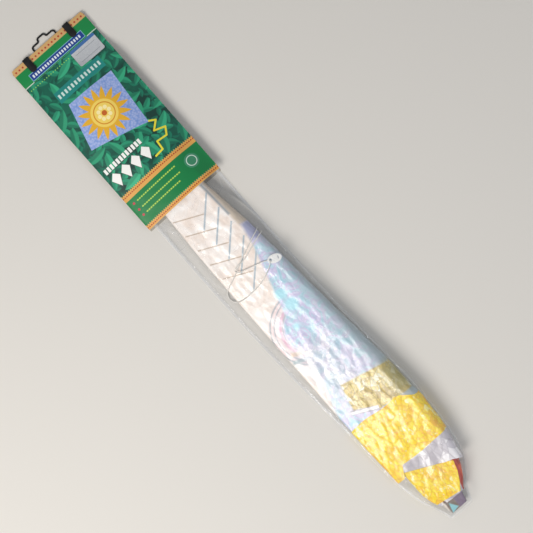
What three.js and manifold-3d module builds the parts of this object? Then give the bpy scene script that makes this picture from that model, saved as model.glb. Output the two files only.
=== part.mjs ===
// A packed single-line diamond kite: the sail film rolled round its spars, the tail ribbon wound round
// the roll, all in a clear bag, with a folded card header and a moulded hanger at the top.
//
// Millimetres, +Z up, lying on its back. While it is drawn, x = 0 is the header's top edge, +X runs down
// to the kite's nose, y = 0 is the header's centre line and z = 0 is the table. The finished group is
// then moved so that its origin is the middle of its footprint on the table.

import * as THREE from 'three';
import { LoftGeometry } from 'three/addons/geometries/LoftGeometry.js';
import { mergeVertices } from 'three/addons/utils/BufferGeometryUtils.js';
import Module from 'manifold-3d';

const wasm = await Module();
wasm.setup();

// ---------------------------------------------------------------- driving dimensions (mm)

const touchGap = 0.3; // left between pieces that lie on each other

const headerLength = 226;
const headerWidth = 100;
const boardThickness = 0.5;
const panelRoom = 1.2; // between the front panel's arch and the film under it
const flapLength = 24;
const flapCorner = 4;
const topCornerCut = 3; // how far the top edge falls back at the header's corners

const hangerThickness = 1.2;
const hangerBarDepth = 9;
const hangerBarWidth = 68;
const hangerOffset = -0.8; // the hanger sits a little off the centre line
const loopWidth = 32;
const loopShoulderReach = 6.4;
const loopReach = 11;
const loopLobeWidth = 10.4;
const loopBarWidth = 1.8;
const clipArmWidth = 7.8;
const clipArmReach = 15.5;
const clipArmSpacing = 56.5;

const labelLength = 22;
const labelWidth = 33.5;
const labelThickness = 0.3;
const labelCentreY = 27.5;

const filmThickness = 0.4; // stands in for thin clear film
const bagMouthX = 46;
const bagTipMargin = 5; // film beyond the nose
const bagSlack = 0.9; // over the roll, away from the bridle
const bridleRoom = 5.4; // over the roll, where the bridle and its tag lie

const rollTopX = 70;
const rollLength = 553; // of the outer wrap, at its longest
const sailThickness = 0.7; // stands in for several layers of sail film
const sailEdgeRadius = 3;
const rollBase = 1.9; // the underside of the outer wrap above the table
const innerRollLength = 130;
const noseLength = 18;
const ribbonThickness = 0.5;
const ribbonWidth = 60;

const sparDiameter = 3;
const spineLength = 560;
const crossSparLength = 540;
const sparSpacing = 8;
const capWall = 0.8;
const capLength = 12;
const joinerLength = 22;
const joinerWall = 1.2;
const joinerSocketLength = 12;
const joinerShare = 0.7; // of the spine's length, from the packed top end

const lineDiameter = 1;
const tagLength = 16;
const tagWidth = 9.6;
const tagThickness = 1;
const tagHoleRadius = 1.6;
const tagSlitLength = 3.4;
const tagSlitWidth = 0.9;

const winderLength = 70;
const winderWidth = 20;
const winderThickness = 2;
const winderNotchWidth = 11;
const winderNotchDepth = 9;
const woundLineThickness = 1.2;

// ---------------------------------------------------------------- worked-out places

const headerStack = hangerThickness + touchGap; // the back panel lies on the hanger's bar
const frontClampZ = headerStack + boardThickness + touchGap;
const flapZ = frontClampZ + boardThickness + touchGap;
const flapTopZ = flapZ + boardThickness;
const backFilmZ = boardThickness + touchGap;
const innerRollBase = rollBase + sailThickness + touchGap;
const noseRollBase = innerRollBase + sailThickness + touchGap;
const sparZ = noseRollBase + capWall + sparDiameter / 2;
const noseEndX = rollTopX + rollLength + 41;

// ---------------------------------------------------------------- materials

const finish = (color, roughness, metalness = 0, extra = {}) =>
  new THREE.MeshStandardMaterial({ color, roughness, metalness, ...extra });

const materials = {
  printedBoard: finish(0x0f7a4a, 0.35),
  boardBack: finish(0xb9b0a0, 0.8),
  hangerPlastic: finish(0x151515, 0.4),
  labelPaper: finish(0xcfcfcf, 0.6),
  clearFilm: finish(0xf4f6f8, 0.08, 0, { transparent: true, opacity: 0.2 }),
  sailFilm: finish(0xe9e6e6, 0.35),
  printedFilm: finish(0x8d6f8f, 0.35),
  ribbonFilm: finish(0xf6c60f, 0.25),
  sparRod: finish(0xd9d2bd, 0.45),
  vinylCap: finish(0x1b1b1d, 0.6),
  fitting: finish(0x202024, 0.45),
  line: finish(0xf3f1ea, 0.8),
  tagPlastic: finish(0xf5f5f3, 0.3),
  winderPlastic: finish(0xd8342a, 0.4),
};

// ---------------------------------------------------------------- helpers

const mix = (a, b, t) => a + (b - a) * t;

function smoothStep(x, from, to) {
  const t = Math.min(1, Math.max(0, (x - from) / (to - from)));
  return t * t * (3 - 2 * t);
}

// A smooth function of x through [x, value] knots, which never overshoots between them.
function profile(knots) {
  const slope = knots.slice(1).map((k, i) => (k[1] - knots[i][1]) / (k[0] - knots[i][0]));
  const tangent = knots.map((_, i) => {
    if (i === 0) return slope[0];
    if (i === knots.length - 1) return slope[i - 1];
    const product = slope[i - 1] * slope[i];
    return product <= 0 ? 0 : (2 * product) / (slope[i - 1] + slope[i]);
  });
  return (x) => {
    if (x <= knots[0][0]) return knots[0][1];
    const i = knots.findIndex((k, n) => n > 0 && x <= k[0]) - 1;
    if (i < 0) return knots[knots.length - 1][1];
    const width = knots[i + 1][0] - knots[i][0];
    const t = (x - knots[i][0]) / width;
    const fromStart = (1 + 2 * t) * (1 - t) * (1 - t) * knots[i][1];
    const toEnd = t * t * (3 - 2 * t) * knots[i + 1][1];
    const leaving = t * (1 - t) * (1 - t) * width * tangent[i];
    const arriving = t * t * (t - 1) * width * tangent[i + 1];
    return fromStart + toEnd + leaving + arriving;
  };
}

const steps = (from, to, count) => Array.from({ length: count + 1 }, (_, i) => mix(from, to, i / count));

function solidOf(geometry) {
  const plain = new THREE.BufferGeometry();
  plain.setAttribute('position', geometry.getAttribute('position'));
  plain.setIndex(geometry.index);
  const merged = mergeVertices(plain, 1e-3);
  return new wasm.Manifold(
    new wasm.Mesh({
      numProp: 3,
      vertProperties: new Float32Array(merged.attributes.position.array),
      triVerts: new Uint32Array(merged.index.array),
    }),
  );
}

function geometryOf(solid) {
  const cut = solid.getMesh();
  const geometry = new THREE.BufferGeometry();
  geometry.setAttribute('position', new THREE.BufferAttribute(cut.vertProperties, 3));
  geometry.setIndex(new THREE.BufferAttribute(cut.triVerts, 1));
  geometry.computeVertexNormals();
  return geometry;
}

// Lofts a sheet through sections that each run along one face and back along the other, and closes both
// ends with the strip between the two faces.
function loft(sections) {
  const geometry = new LoftGeometry(sections);
  const count = sections[0].length;
  const last = (sections.length - 1) * (count + 1);
  const index = Array.from(geometry.index.array);
  for (let j = 0; j < count / 2 - 1; j++) {
    const [a, b, c, d] = [j, j + 1, count - 2 - j, count - 1 - j];
    index.push(b, a, d, b, d, c);
    index.push(last + a, last + b, last + d, last + d, last + b, last + c);
  }
  geometry.setIndex(index);
  const flipped = solidOf(geometry).volume() < 0;
  return flipped ? loft(sections.map((s) => s.slice().reverse())) : geometry;
}

function prism(shape, depth, curveSegments = 10) {
  return new THREE.ExtrudeGeometry(shape, { depth, bevelEnabled: false, curveSegments });
}

const kite = new THREE.Group();

function addPiece(name, geometry, material, parent = kite) {
  const mesh = new THREE.Mesh(geometry, material);
  mesh.name = name;
  parent.add(mesh);
  return mesh;
}

// ---------------------------------------------------------------- the roll's outline

// A roll lying on the table: a large round on its right (+Y) side, a tight fold on its left, and straight
// runs between them. u goes once round it, from under the large round, over the top and back underneath.
// Every layer is the same outline moved out or in by an offset, so layers never cross.
const roundShare = 0.4;
const topShare = 0.25;
const foldShare = 0.15;

function outlinePoint(plan, x, u, offset = 0) {
  const big = plan.height(x) / 2;
  const small = Math.min(plan.edgeRadius, big);
  const bigY = plan.right(x) - big;
  const smallY = plan.left(x) + small;
  const tilt = 2 * Math.atan2(big - small, bigY - smallY);
  const topAngle = Math.PI / 2 + tilt;
  const turn = ((u % 1) + 1) % 1;
  let along = 0; // 0 on the large round, 1 on the tight fold
  let angle = topAngle;
  let crown = 0;
  if (turn < roundShare) {
    angle = mix(-Math.PI / 2, topAngle, turn / roundShare);
  } else if (turn < roundShare + topShare) {
    along = (turn - roundShare) / topShare;
    crown = plan.crown * Math.sin(Math.PI * along);
  } else if (turn < roundShare + topShare + foldShare) {
    along = 1;
    angle = mix(topAngle, 1.5 * Math.PI, (turn - roundShare - topShare) / foldShare);
  } else {
    along = (1 - turn) / (1 - roundShare - topShare - foldShare);
    angle = -Math.PI / 2;
  }
  const reach = mix(big, small, along) + crown + offset;
  const y = mix(bigY, smallY, along) + reach * Math.cos(angle);
  const z = plan.base + mix(big, small, along) + reach * Math.sin(angle);
  return new THREE.Vector3(x, y, z);
}

const onRoll = (share) => rollTopX + share * rollLength;

const outerRoll = {
  base: rollBase,
  edgeRadius: sailEdgeRadius,
  crown: 0.8,
  right: profile([
    [onRoll(0), 11.5], [onRoll(0.28), 28.5], [onRoll(0.4), 36.5], [onRoll(0.55), 41.8],
    [onRoll(0.73), 49.4], [onRoll(0.84), 52.6], [onRoll(0.91), 51.2], [onRoll(0.96), 48], [onRoll(1), 42],
  ]),
  left: profile([
    [onRoll(0), -21], [onRoll(0.28), -27], [onRoll(0.42), -29.8], [onRoll(0.84), -31], [onRoll(0.92), -30],
    [onRoll(1), -28],
  ]),
  height: profile([
    [onRoll(0), 8.6], [onRoll(0.28), 15], [onRoll(0.54), 19], [onRoll(0.84), 24], [onRoll(0.96), 22],
    [onRoll(1), 20.5],
  ]),
};

// The inner roll of sail film, which the outer wrap leaves bare at the nose.
const innerRollStart = onRoll(1) - innerRollLength + 28;
const innerRollEnd = noseEndX - noseLength + 5;
const innerRoll = {
  base: innerRollBase,
  edgeRadius: sailEdgeRadius,
  crown: 0.4,
  right: profile([
    [innerRollStart, 43], [onRoll(1) - 20, 41.5], [onRoll(1) + 2, 37.4], [onRoll(1) + 15, 31.4],
    [innerRollEnd, 20.5],
  ]),
  left: profile([
    [innerRollStart, -19], [onRoll(1) + 2, -18.8], [onRoll(1) + 15, -18], [innerRollEnd, -12],
  ]),
  height: profile([[innerRollStart, 17], [onRoll(1), 16], [innerRollEnd, 12]]),
};

const noseRoll = {
  base: noseRollBase,
  edgeRadius: 2,
  crown: 0.2,
  right: profile([[noseEndX - noseLength, 17], [noseEndX - 2, 15], [noseEndX, 13.6]]),
  left: profile([[noseEndX - noseLength, -9.4], [noseEndX - 4, -9.4], [noseEndX, -7]]),
  height: profile([[noseEndX - noseLength, 7.2], [noseEndX, 5.6]]),
};

// A sheet wound on a roll from u = from to u = to, between two edges given as x over y. Its inner face
// lies at the offset.
function woundSheet(plan, { from, to, offset, thickness, startX, endX, across, along }) {
  const place = (u, depth, v) => {
    let p = outlinePoint(plan, mix(startX(0), endX(0), v), u, depth);
    for (let i = 0; i < 3; i++) p = outlinePoint(plan, mix(startX(p.y), endX(p.y), v), u, depth);
    return p;
  };
  return loft(steps(0, 1, along).map((v) => [
    ...steps(from, to, across).map((u) => place(u, offset + thickness, v)),
    ...steps(to, from, across).map((u) => place(u, offset, v)),
  ]));
}

// ---------------------------------------------------------------- header card

function topEdgeX(y) {
  const corner = Math.max(0, Math.abs(y) - (headerWidth / 2 - 2.2 * topCornerCut));
  return touchGap + (topCornerCut * corner) / (2.2 * topCornerCut);
}

// The front panel's underside: flat under the flap, then arched over the bagged roll.
function frontPanelZ(x, y) {
  const rollX = Math.max(x, onRoll(0));
  const crest = rollBase + outerRoll.height(rollX) + bagSlack + filmThickness + 2 * touchGap;
  const right = outerRoll.right(rollX);
  const left = outerRoll.left(rollX);
  const rightEdge = winderTopZ + bagSlack + filmThickness + touchGap + 1;
  const leftEdge = backFilmZ + 2 * filmThickness + 3 * touchGap + 2.4;
  const leftCrest = leftEdge + 2 * sailEdgeRadius;
  const crestY = right - outerRoll.height(rollX) / 2;
  const arch = profile([
    [-headerWidth / 2, leftEdge],
    [left - 6, leftCrest],
    [crestY - 4, crest + panelRoom],
    [right - 1, crest + panelRoom * 0.6],
    [Math.max(right + 6, headerWidth / 2 - 24), Math.max(rightEdge, crest - 1.6)],
    [headerWidth / 2, rightEdge],
  ]);
  return mix(frontClampZ, arch(y), smoothStep(x, flapLength + 1, rollTopX - 4));
}

const winderX = onRoll(0) + 40;
const winderY = 32;
const winderZ = backFilmZ + filmThickness + touchGap + woundLineThickness + touchGap;
const winderTopZ = winderZ + winderThickness + touchGap + woundLineThickness;

function backPanelZ(x) {
  return headerStack * (1 - smoothStep(x, hangerBarDepth + 4, bagMouthX));
}

// A sheet of board over the header's outline, with its underside given by height(x, y).
function boardSheet(height, startX, endX, halfWidth, across, stations, thickness = boardThickness) {
  const sections = stations.map((share) => {
    const row = steps(-halfWidth, halfWidth, across).map((y) => {
      const x = mix(startX(y), endX, share);
      return new THREE.Vector3(x, y, height(x, y));
    });
    const lifted = row.map((p) => new THREE.Vector3(p.x, p.y, p.z + thickness));
    return [...row, ...lifted.reverse()];
  });
  return loft(sections);
}

function headerBackPanel() {
  return boardSheet(backPanelZ, topEdgeX, headerLength, headerWidth / 2, 20,
    [0, 0.05, 0.08, 0.11, 0.14, 0.17, 0.2, 1]);
}

function headerFrontPanel() {
  return boardSheet(frontPanelZ, topEdgeX, headerLength - 2, headerWidth / 2, 28,
    [0, 0.11, 0.15, 0.18, 0.21, 0.24, 0.28, 0.33, 0.45, 0.6, 0.8, 1]);
}

// The flap turns up round the top edge and lies on the front panel. Its hinge is the fold at its foot.
const flapHinge = { x: -boardThickness / 2, z: headerStack + boardThickness / 2 };

function headerTopFlap() {
  const half = boardThickness / 2;
  const side = new THREE.Shape();
  side.moveTo(flapHinge.x + half, flapHinge.z);
  side.lineTo(flapHinge.x + half, flapZ);
  side.lineTo(flapLength, flapZ);
  side.lineTo(flapLength, flapTopZ);
  side.lineTo(flapHinge.x - half, flapTopZ);
  side.lineTo(flapHinge.x - half, flapHinge.z);
  side.absarc(flapHinge.x, flapHinge.z, half, Math.PI, 2 * Math.PI);
  const folded = prism(side, headerWidth).rotateX(Math.PI / 2).translate(0, headerWidth / 2, 0);

  const w = headerWidth / 2;
  const plan = new THREE.Shape();
  plan.moveTo(-5, -w + topCornerCut);
  plan.lineTo(topCornerCut, -w);
  plan.lineTo(flapLength - flapCorner, -w);
  plan.absarc(flapLength - flapCorner, -w + flapCorner, flapCorner, -Math.PI / 2, 0);
  plan.absarc(flapLength - flapCorner, w - flapCorner, flapCorner, 0, Math.PI / 2);
  plan.lineTo(topCornerCut, w);
  plan.lineTo(-5, w - topCornerCut);
  return geometryOf(solidOf(folded).intersect(solidOf(prism(plan, flapTopZ + 1))));
}

function priceLabel() {
  const startX = flapLength + touchGap;
  const sections = steps(0, 1, 4).map((share) => {
    const x = mix(startX, startX + labelLength, share);
    const row = steps(labelCentreY - labelWidth / 2, labelCentreY + labelWidth / 2, 8).map(
      (y) => new THREE.Vector3(x, y, frontPanelZ(x, y) + boardThickness + touchGap),
    );
    const lifted = row.map((p) => new THREE.Vector3(p.x, p.y, p.z + labelThickness));
    return [...row, ...lifted.reverse()];
  });
  return loft(sections);
}

// ---------------------------------------------------------------- hanger

// A flat bar of the given width along a path, as one closed outline.
function strapShape(path, width, divisions) {
  const points = path.getPoints(divisions).filter((p, i, all) => i === 0 || p.distanceTo(all[i - 1]) > 1e-4);
  const side = (sign) =>
    points.map((p, i) => {
      const ahead = points[Math.min(i + 1, points.length - 1)];
      const behind = points[Math.max(i - 1, 0)];
      const tangent = ahead.clone().sub(behind).normalize();
      return new THREE.Vector2(p.x - (sign * tangent.y * width) / 2, p.y + (sign * tangent.x * width) / 2);
    });
  return new THREE.Shape([...side(1), ...side(-1).reverse()]);
}

// The hang loop's centre line, drawn over y, with its apex at x = -loopReach.
function loopPath() {
  const shoulderRadius = 2.6;
  const neckRadius = 1.4;
  const lobeRadius = 2.4;
  const w = (loopWidth - loopBarWidth) / 2;
  const lobe = loopLobeWidth / 2;
  const y0 = hangerOffset;
  const reach = loopReach - loopBarWidth / 2;
  const path = new THREE.Path();
  path.moveTo(2, y0 - w);
  path.lineTo(-loopShoulderReach + shoulderRadius, y0 - w);
  path.absarc(-loopShoulderReach + shoulderRadius, y0 - w + shoulderRadius, shoulderRadius,
    -Math.PI / 2, -Math.PI, true);
  path.lineTo(-loopShoulderReach, y0 - lobe - neckRadius);
  path.absarc(-loopShoulderReach - neckRadius, y0 - lobe - neckRadius, neckRadius, 0, Math.PI / 2, false);
  path.lineTo(-reach + lobeRadius, y0 - lobe);
  path.absarc(-reach + lobeRadius, y0 - lobe + lobeRadius, lobeRadius, -Math.PI / 2, -Math.PI, true);
  path.absarc(-reach + lobeRadius, y0 + lobe - lobeRadius, lobeRadius, Math.PI, Math.PI / 2, true);
  path.lineTo(-loopShoulderReach - neckRadius, y0 + lobe);
  path.absarc(-loopShoulderReach - neckRadius, y0 + lobe + neckRadius, neckRadius, -Math.PI / 2, 0, false);
  path.lineTo(-loopShoulderReach, y0 + w - shoulderRadius);
  path.absarc(-loopShoulderReach + shoulderRadius, y0 + w - shoulderRadius, shoulderRadius,
    Math.PI, Math.PI / 2, true);
  path.lineTo(2, y0 + w);
  return path;
}

const armAxis = { x: -boardThickness - touchGap - hangerThickness / 2, z: hangerThickness / 2 };

function hanger() {
  const loop = prism(strapShape(loopPath(), loopBarWidth, 6), hangerThickness);
  const bar = new THREE.BoxGeometry(hangerBarDepth, hangerBarWidth, hangerThickness);
  bar.translate(hangerBarDepth / 2 - boardThickness + 0.5 * touchGap, hangerOffset, hangerThickness / 2);
  return geometryOf(solidOf(loop).add(solidOf(bar)));
}

// One clip arm: it stands up past the fold and lies over the flap. It turns about its rounded foot.
function clipArm(centreY) {
  const half = hangerThickness / 2;
  const under = flapTopZ + touchGap;
  const side = new THREE.Shape();
  side.moveTo(armAxis.x + half, armAxis.z);
  side.lineTo(armAxis.x + half, under);
  side.lineTo(clipArmReach, under);
  side.lineTo(clipArmReach, under + hangerThickness);
  side.lineTo(armAxis.x, under + hangerThickness);
  side.absarc(armAxis.x, under + half, half, Math.PI / 2, Math.PI);
  side.lineTo(armAxis.x - half, armAxis.z);
  side.absarc(armAxis.x, armAxis.z, half, Math.PI, 2 * Math.PI);
  const bent = prism(side, clipArmWidth, 6).rotateX(Math.PI / 2).translate(0, centreY + clipArmWidth / 2, 0);

  const w = clipArmWidth / 2;
  const tip = w * 0.8;
  const plan = new THREE.Shape();
  plan.moveTo(-5, centreY - w - 1);
  plan.lineTo(clipArmReach - tip, centreY - w - 1);
  plan.lineTo(clipArmReach - tip, centreY - w);
  plan.absarc(clipArmReach - tip, centreY - w + tip, tip, -Math.PI / 2, 0);
  plan.absarc(clipArmReach - tip, centreY + w - tip, tip, 0, Math.PI / 2);
  plan.lineTo(clipArmReach - tip, centreY + w + 1);
  plan.lineTo(-5, centreY + w + 1);
  return geometryOf(solidOf(bent).intersect(solidOf(prism(plan, under + hangerThickness + 1, 5))));
}

// ---------------------------------------------------------------- clear bag

const bagEndX = noseEndX + bagTipMargin;
const bagRight = profile([
  [bagMouthX, 48], [onRoll(0.5), 48.4], [onRoll(0.7), 52], [onRoll(0.84), 55.6], [onRoll(0.92), 54],
  [onRoll(1), 46], [onRoll(1) + 18, 35], [noseEndX - 8, 23], [bagEndX, 18],
]);
const bagLeft = profile([
  [bagMouthX, -43.6], [onRoll(0.5), -43.6], [onRoll(0.68), -41], [onRoll(0.84), -34.8], [onRoll(0.95), -33],
  [onRoll(1), -28], [onRoll(1) + 18, -23], [noseEndX - 8, -16], [bagEndX, -12],
]);

function backFilmUnderside(x) {
  return backFilmZ * (1 - smoothStep(x, headerLength + 2, headerLength + 30));
}

const bagStations = [
  bagMouthX, mix(bagMouthX, rollTopX, 0.35), mix(bagMouthX, rollTopX, 0.7), rollTopX,
  winderX - winderLength / 2 + 18, winderX + winderLength / 2 + 2, winderX + winderLength / 2 + 18,
  headerLength - 18, headerLength + 2, headerLength + 12, headerLength + 22, headerLength + 32, headerLength + 48,
  ...steps(onRoll(0.41), onRoll(0.77), 5), ...steps(onRoll(0.82), onRoll(1), 5), onRoll(1) + 9, onRoll(1) + 18,
  noseEndX - 14, noseEndX - 5, noseEndX + 1, bagEndX,
];

function bagBackFilm() {
  const sections = bagStations.map((x) => {
    const low = backFilmUnderside(x);
    const left = bagLeft(x);
    const right = bagRight(x);
    return [
      new THREE.Vector3(x, left, low),
      new THREE.Vector3(x, right, low),
      new THREE.Vector3(x, right, low + filmThickness),
      new THREE.Vector3(x, left, low + filmThickness),
    ];
  });
  return loft(sections);
}

// The front film's room over the roll: wide where the bridle lies, and closing past the nose.
function filmRoom(x) {
  const bridleStart = headerLength + 14;
  const bridleEnd = onRoll(0.56);
  const swell = smoothStep(x, bridleStart, bridleStart + 34) * (1 - smoothStep(x, bridleEnd, bridleEnd + 60));
  return mix(bagSlack + ribbonThickness * smoothStep(x, onRoll(0.6), onRoll(0.8)), bridleRoom, swell);
}

// The outline that the front film is drawn over: the outer roll, and then the bare nose in one slope.
const bagRoll = {
  base: rollBase,
  edgeRadius: sailEdgeRadius,
  crown: 0.8,
  right: (x) => (x < onRoll(0.96) ? outerRoll.right(x) : noseDrape.right(x)),
  left: (x) => (x < onRoll(0.92) ? outerRoll.left(x) : noseDrape.left(x)),
  height: (x) => (x < onRoll(0.96) ? mouthHeight(x) : noseDrape.height(x)),
};

const noseDrape = {
  right: profile([[onRoll(0.96), 48], [onRoll(1), 43], [onRoll(1) + 15, 34], [innerRollEnd, 23.5], [bagEndX, 16.4]]),
  left: profile([[onRoll(0.92), -30], [onRoll(1), -26.5], [onRoll(1) + 15, -22], [innerRollEnd, -15], [bagEndX, -10]]),
  height: profile([[onRoll(0.96), 22], [onRoll(1), 21.5], [innerRollEnd, 17.5], [noseEndX + 1, 13], [bagEndX, 1.6]]),
};

const mouthHeight = (x) => mix(1.2, outerRoll.height(x), smoothStep(x, bagMouthX, rollTopX - 4));

// The winder makes a low tent on the right of the roll's top end.
function winderTent(x, y) {
  const lengthwise = smoothStep(x, bagMouthX, winderX - winderLength / 2 - 1)
    * (1 - smoothStep(x, winderX + winderLength / 2 + 1, winderX + winderLength / 2 + 30));
  const crosswise = smoothStep(y, winderY - winderWidth, winderY - winderWidth / 2 - 1)
    * (1 - smoothStep(y, winderY + winderWidth / 2 + 0.5, bagRight(x)));
  return (winderTopZ + touchGap) * lengthwise * crosswise;
}

function frontFilmRow(x, extra) {
  const overFrom = 0.2; // starts at the large round's side
  const overTo = 0.715; // and ends at the tight fold's side
  const room = filmRoom(x) + extra;
  const fringe = backFilmUnderside(x) + filmThickness + touchGap + extra;
  const over = steps(overFrom, overTo, 22).map((u) => outlinePoint(bagRoll, x, u, room));
  const inner = Math.min(over[0].y + 2.5, bagRight(x) - 0.5);
  const winderSide = x < headerLength ? winderY + winderWidth / 2 + 0.8 : inner;
  const shoulder = Math.max(mix(bagRight(x), inner, 0.2), Math.min(winderSide, bagRight(x) - 0.5));
  const right = [bagRight(x), ...steps(shoulder, inner, 4)];
  const left = steps(Math.max(over[over.length - 1].y - 2.5, bagLeft(x) + 0.5), bagLeft(x), 3);
  const height = (y, z) => Math.max(fringe, z, winderTent(x, y) + extra);
  return [
    ...right.map((y) => new THREE.Vector3(x, y, height(y, 0))),
    ...over.map((p) => new THREE.Vector3(x, p.y, height(p.y, p.z))),
    ...left.map((y) => new THREE.Vector3(x, y, fringe)),
  ];
}

function bagFrontFilm() {
  return loft(bagStations.map((x) => [...frontFilmRow(x, 0), ...frontFilmRow(x, filmThickness).reverse()]));
}

// ---------------------------------------------------------------- sail and tail ribbon

// The outer wrap's last edge runs across the roll on a slant, as the sail's own corner does.
const slantAtNose = (y) => onRoll(1) - 0.453 * (42 - y);

// Each roll of film is one turn, whose two edges meet underneath with a seam left open.
const seamAt = 0.84;
const seamWidth = 0.02; // of a turn

function rolledFilm(plan, startX, endX, across, along) {
  return woundSheet(plan, {
    from: seamAt - 1 + seamWidth, to: seamAt, offset: -sailThickness, thickness: sailThickness,
    startX, endX, across, along,
  });
}

const sailOuterWrap = () => rolledFilm(outerRoll, () => onRoll(0), slantAtNose, 42, 13);
const sailInnerWrap = () => rolledFilm(innerRoll, () => innerRollStart, () => innerRollEnd, 40, 8);
const sailNoseTip = () => rolledFilm(noseRoll, () => noseEndX - noseLength, () => noseEndX, 32, 4);

function tailRibbonUpperWrap() {
  const start = slantAtNose(0) - 14 - ribbonWidth;
  return woundSheet(outerRoll, {
    from: 0.02, to: 0.98, offset: touchGap, thickness: ribbonThickness,
    startX: (y) => start + 0.02 * y, endX: () => start + ribbonWidth, across: 44, along: 5,
  });
}

function tailRibbonUnderWrap() {
  const start = onRoll(0.84) - 42;
  return woundSheet(outerRoll, {
    from: 0.18, to: 0.6, offset: -sailThickness - 2 * touchGap - ribbonThickness, thickness: ribbonThickness,
    startX: (y) => start + 0.2 * (y + 6), endX: (y) => start + 42 + 0.2 * y, across: 18, along: 4,
  });
}

function tailRibbonLowerWrap() {
  return woundSheet(innerRoll, {
    from: 0.2, to: 0.8, offset: touchGap, thickness: ribbonThickness,
    startX: (y) => onRoll(1) - 19 + 0.45 * (y + 3), endX: (y) => innerRollEnd - 1 + 0.1 * (y - 18),
    across: 30, along: 5,
  });
}

// ---------------------------------------------------------------- spars and fittings

const spineY = 6;
const crossSparY = spineY - sparSpacing;
const spineStart = onRoll(0) + 6;
const crossSparStart = onRoll(0) + 16;

function rod(startX, length, y) {
  const geometry = new THREE.CylinderGeometry(sparDiameter / 2, sparDiameter / 2, length, 12);
  return geometry.rotateZ(-Math.PI / 2).translate(startX + length / 2, y, sparZ);
}

// A vinyl cap: a cup over the rod's end, with a domed, notched nose drawn as a lathed profile.
function endCap(tipX, y, facing) {
  const bore = sparDiameter / 2 + touchGap;
  const outer = sparDiameter / 2 + capWall;
  const depth = capLength * 0.75;
  const points = [
    [0, capLength - depth], [bore, capLength - depth], [bore, capLength], [outer, capLength],
    [outer, 1.6], [outer * 0.7, 0.4], [0, 0],
  ];
  const geometry = new THREE.LatheGeometry(points.map(([r, h]) => new THREE.Vector2(r, h)).reverse(), 12);
  const cup = solidOf(geometry).volume() < 0
    ? new THREE.LatheGeometry(points.map(([r, h]) => new THREE.Vector2(r, h)), 12)
    : geometry;
  return cup.rotateZ((facing * Math.PI) / 2).translate(tipX, y, sparZ);
}

// The cross fitting: a sleeve round the spine with a short open socket across it for the cross spar.
function centreJoiner() {
  const bore = sparDiameter / 2 + touchGap;
  const outer = bore + joinerWall;
  const x = spineStart + joinerShare * spineLength;
  const sleeve = new THREE.CylinderGeometry(outer, outer, joinerLength, 16).rotateZ(Math.PI / 2);
  const socket = new THREE.CylinderGeometry(outer, outer, joinerSocketLength, 16);
  const sleeveBore = new THREE.CylinderGeometry(bore, bore, joinerLength + 2, 16).rotateZ(Math.PI / 2);
  const socketBore = new THREE.CylinderGeometry(bore, bore, joinerSocketLength + 2, 16);
  const socketX = joinerLength / 2 - outer;
  const socketZ = 2 * bore + joinerWall;
  const body = solidOf(sleeve.translate(0, 0, 0)).add(solidOf(socket.translate(socketX, 0, socketZ)));
  const bored = body.subtract(solidOf(sleeveBore)).subtract(solidOf(socketBore.translate(socketX, 0, socketZ)));
  return geometryOf(bored).translate(x, spineY, sparZ);
}

// ---------------------------------------------------------------- line winder

function lineWinder() {
  const l = winderLength / 2;
  const w = winderWidth / 2;
  const notch = winderNotchWidth / 2;
  const plan = new THREE.Shape();
  plan.moveTo(-l, -w);
  plan.lineTo(l, -w);
  plan.lineTo(l, -notch);
  plan.lineTo(l - winderNotchDepth, -notch);
  plan.lineTo(l - winderNotchDepth, notch);
  plan.lineTo(l, notch);
  plan.lineTo(l, w);
  plan.lineTo(-l, w);
  plan.lineTo(-l, notch);
  plan.lineTo(-l + winderNotchDepth, notch);
  plan.lineTo(-l + winderNotchDepth, -notch);
  plan.lineTo(-l, -notch);
  return prism(plan, winderThickness).translate(winderX, winderY, winderZ);
}

function woundFlyingLine() {
  const halfLength = winderLength / 2 - winderNotchDepth;
  const width = winderNotchWidth - 2 * touchGap;
  const inner = winderThickness / 2 + touchGap;
  const outer = inner + woundLineThickness;
  const ring = (reach, half) => {
    const shape = new THREE.Shape();
    shape.moveTo(-halfLength - reach + half, -half);
    shape.lineTo(halfLength + reach - half, -half);
    shape.absarc(halfLength + reach - half, 0, half, -Math.PI / 2, Math.PI / 2);
    shape.lineTo(-halfLength - reach + half, half);
    shape.absarc(-halfLength - reach + half, 0, half, Math.PI / 2, 1.5 * Math.PI);
    return shape;
  };
  const bundle = ring(touchGap + inner + woundLineThickness, outer);
  bundle.holes.push(new THREE.Path(ring(touchGap + inner, inner).getPoints(8)));
  return prism(bundle, width, 8).rotateX(Math.PI / 2)
    .translate(winderX, winderY + width / 2, winderZ + winderThickness / 2);
}

// ---------------------------------------------------------------- bridle line and tag

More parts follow.
